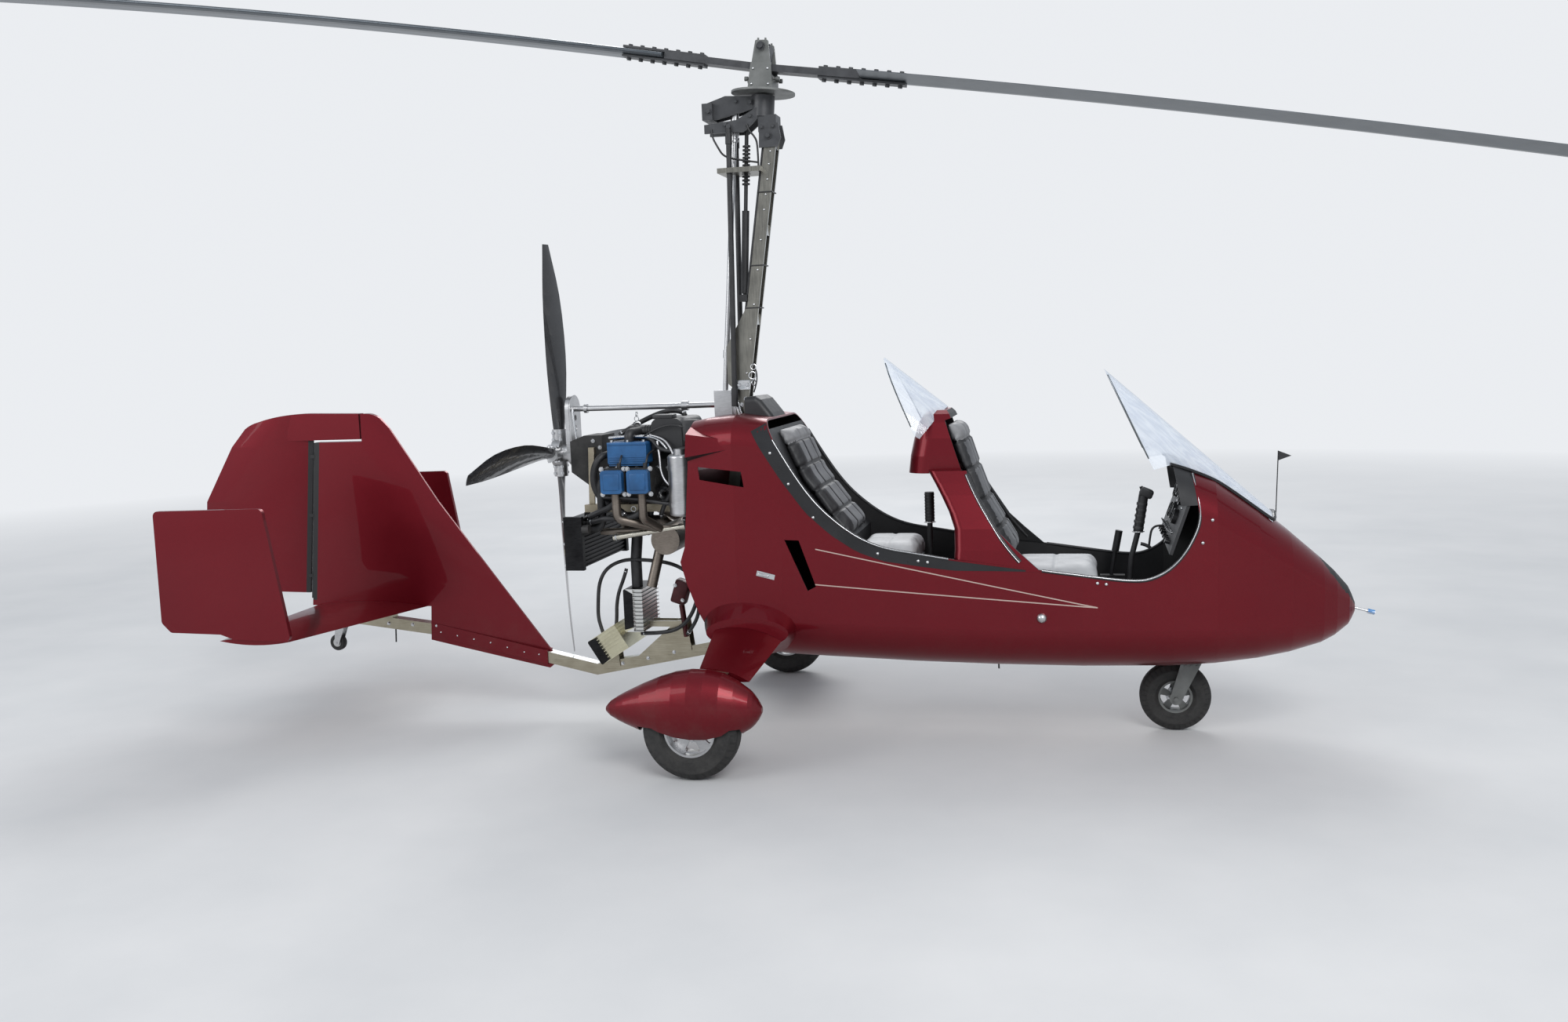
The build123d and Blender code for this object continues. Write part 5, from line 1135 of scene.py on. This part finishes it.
# Coolers: black painted cores with close fins. The charge cooler's edges are bright and the oil cooler's
# golden. A red fitting stands on the keel beside them.
cooler = metal("cooler_core", (0.012, 0.012, 0.013), (0.035, 0.035, 0.036), 0.4)
bright_fins = metal("bright_fins", (0.62, 0.62, 0.6), (0.8, 0.8, 0.78), 0.22)
golden_fins = metal("golden_fins", (0.5, 0.47, 0.34), (0.72, 0.69, 0.52), 0.25)
dress(cooler, "radiators")
face_finish("radiators", bright_fins,
            lambda at, to: -0.66 < at.x < -0.6 and 0.38 < at.z < 0.6 and abs(to.z) < 0.5)
face_finish("radiators", golden_fins,
            lambda at, to: at.x + 0.53 * (at.z - 0.338) > -0.8 and at.z < 0.46 and at.x < -0.67)
places = [((-0.8745, side * 0.262, z), (-1, 0, 0), 0.012) for side in (-1, 1) for z in (0.71, 0.8, 0.895)]
copies("radiator_bolts", hexagon, places, steel)
tube("radiator_neck", [(-0.794, -0.262, 0.86), (-0.765, -0.262, 0.862)], 0.02, engine_black, smooth=False)
fitting = Finish("red_fitting", metallic=0.4, roughness=0.35)
fitting.shade(30, (0.045, 0.006, 0.008), (0.085, 0.012, 0.014))
pump = plate("pump_body", (-0.486, -0.06, 0.505), (-0.42, 0.0, 0.61), None, 0.01, turn=("Y", 18),
             relief=0.003)
neck = tube("pump_neck", [(-0.455, -0.03, 0.5), (-0.44, -0.03, 0.36)], 0.012, None, smooth=False)
joined("fuel_pump", [pump, neck], fitting)
places = [((-0.47, -0.063, 0.59), RIGHT, 0.012), ((-0.44, -0.063, 0.525), RIGHT, 0.012)]
copies("pump_bolts", hexagon, places, steel)


# Tyres: worn rubber with tread grooves, moulded rings and dust on the sidewalls; rims with wheel bolts.
MAIN_WHEEL, NOSE_WHEEL, TAIL_WHEEL = (-0.188, 0.804, 0.186), (1.585, 0.0, 0.138), (-2.14, 0.0, 0.306)


def tyre_finish(name, centre, half):
    """Rubber with circumferential grooves on the tread and raised rings on the sidewalls."""
    finish = Finish(name, roughness=0.8)
    x, y, z = centre
    radius = z
    px, py, pz = finish.axis("X") - x, abs(abs(finish.axis("Y")) - y), finish.axis("Z") - z
    reach = (px * px + pz * pz) ** 0.5
    tread = reach > radius - 0.01
    groove = ((abs(py - 0.01) < 0.0022) + (abs(py - half * 0.55) < 0.0022)).least(1.0) * tread
    lugs = (px.math("ARCTAN2", pz) * 36).math("SINE") > 0.55
    shoulder = (reach > radius - 0.026) * (reach < radius - 0.006) * lugs
    rings = (reach * 260).math("SINE") * 0.5 * (reach < radius - 0.03)
    dust = finish.noise(25, 6, 0.7)
    base = finish.ramp(dust, (0.3, (0.01, 0.01, 0.01)), (0.8, (0.034, 0.032, 0.03)))
    # Grooves and shoulder lugs are coloured near black as painted shade in the recesses.
    finish.put("Base Color", finish.mix((groove + shoulder * 0.5).least(1.0), base, (0.004, 0.004, 0.004)))
    finish.put("Roughness", 0.62 + finish.noise(60) * 0.3)
    finish.bump(rings * 0.4 - groove * 2.0 - shoulder + finish.noise(350, 3) * 0.3, 0.5, 0.002)
    return finish


dress(tyre_finish("main_tyre", MAIN_WHEEL, 0.055), "right_tyre", "left_tyre")
dress(tyre_finish("nose_tyre_rubber", NOSE_WHEEL, 0.042), "nose_tyre")
tail_rubber = Finish("tail_tyre_rubber", roughness=0.8)
px, pz = tail_rubber.axis("X") - TAIL_WHEEL[0], tail_rubber.axis("Z") - TAIL_WHEEL[2]
hub = (px * px + pz * pz) < 0.019 ** 2
worn = tail_rubber.ramp(tail_rubber.noise(40), (0.3, (0.012, 0.012, 0.012)), (0.8, (0.035, 0.034, 0.033)))
tail_rubber.put("Base Color", tail_rubber.mix(hub, worn, (0.5, 0.5, 0.49)))
tail_rubber.put("Metallic", hub * 0.9)
tail_rubber.put("Roughness", 0.7 - hub * 0.4)
dress(tail_rubber, "tail_wheel")
WEB_HALF = 0.0062
for body, (x, y, z), hand, r in (("nose_wheel", NOSE_WHEEL, 1, 0.028), ("right_wheel", MAIN_WHEEL, -1, 0.04),
                                 ("left_wheel", MAIN_WHEEL, 1, 0.04)):
    places = []
    for k in range(5):
        turn = k * 2 * pi / 5 + 0.94
        for side in (-1, 1):
            at = Vector((x + r * cos(turn), hand * y + side * WEB_HALF, z + r * sin(turn)))
            places.append((at, (0, side, 0), 0.012))
    copies(f"{body}_bolts", hexagon, places, steel, body)


# Tail and nose: a black seal in the rudder's hinge gap, a wire aerial under the tailplane, screws along the
# fin's root, and the blue cap on the tip of the air-speed probe.
tube("hinge_gap_seal", [(-2.173, 0, 1.232), (-2.25, 0, 0.515)], 0.0085, rubber, smooth=False)
points = [(-1.833, -0.012, 0.405), (-1.835, -0.012, 0.365), (-1.838, -0.012, 0.313)]
tube("tail_aerial", points, 0.0035, gloss_black)
ROOT = ((-1.13, 0.27), (-1.2, 0.28), (-1.28, 0.3), (-1.36, 0.32), (-1.44, 0.335), (-1.52, 0.35), (-1.6, 0.365))
places = [((x, side * 0.0305, z), (0, side, 0), 0.008) for side in (-1, 1) for x, z in ROOT]
copies("fin_root_screws", dome, places, steel)
tube("probe_tip", [(2.2965, 0, 0.4872), (2.3215, 0, 0.4812)], 0.0094, blue_cap, smooth=False)


low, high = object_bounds()
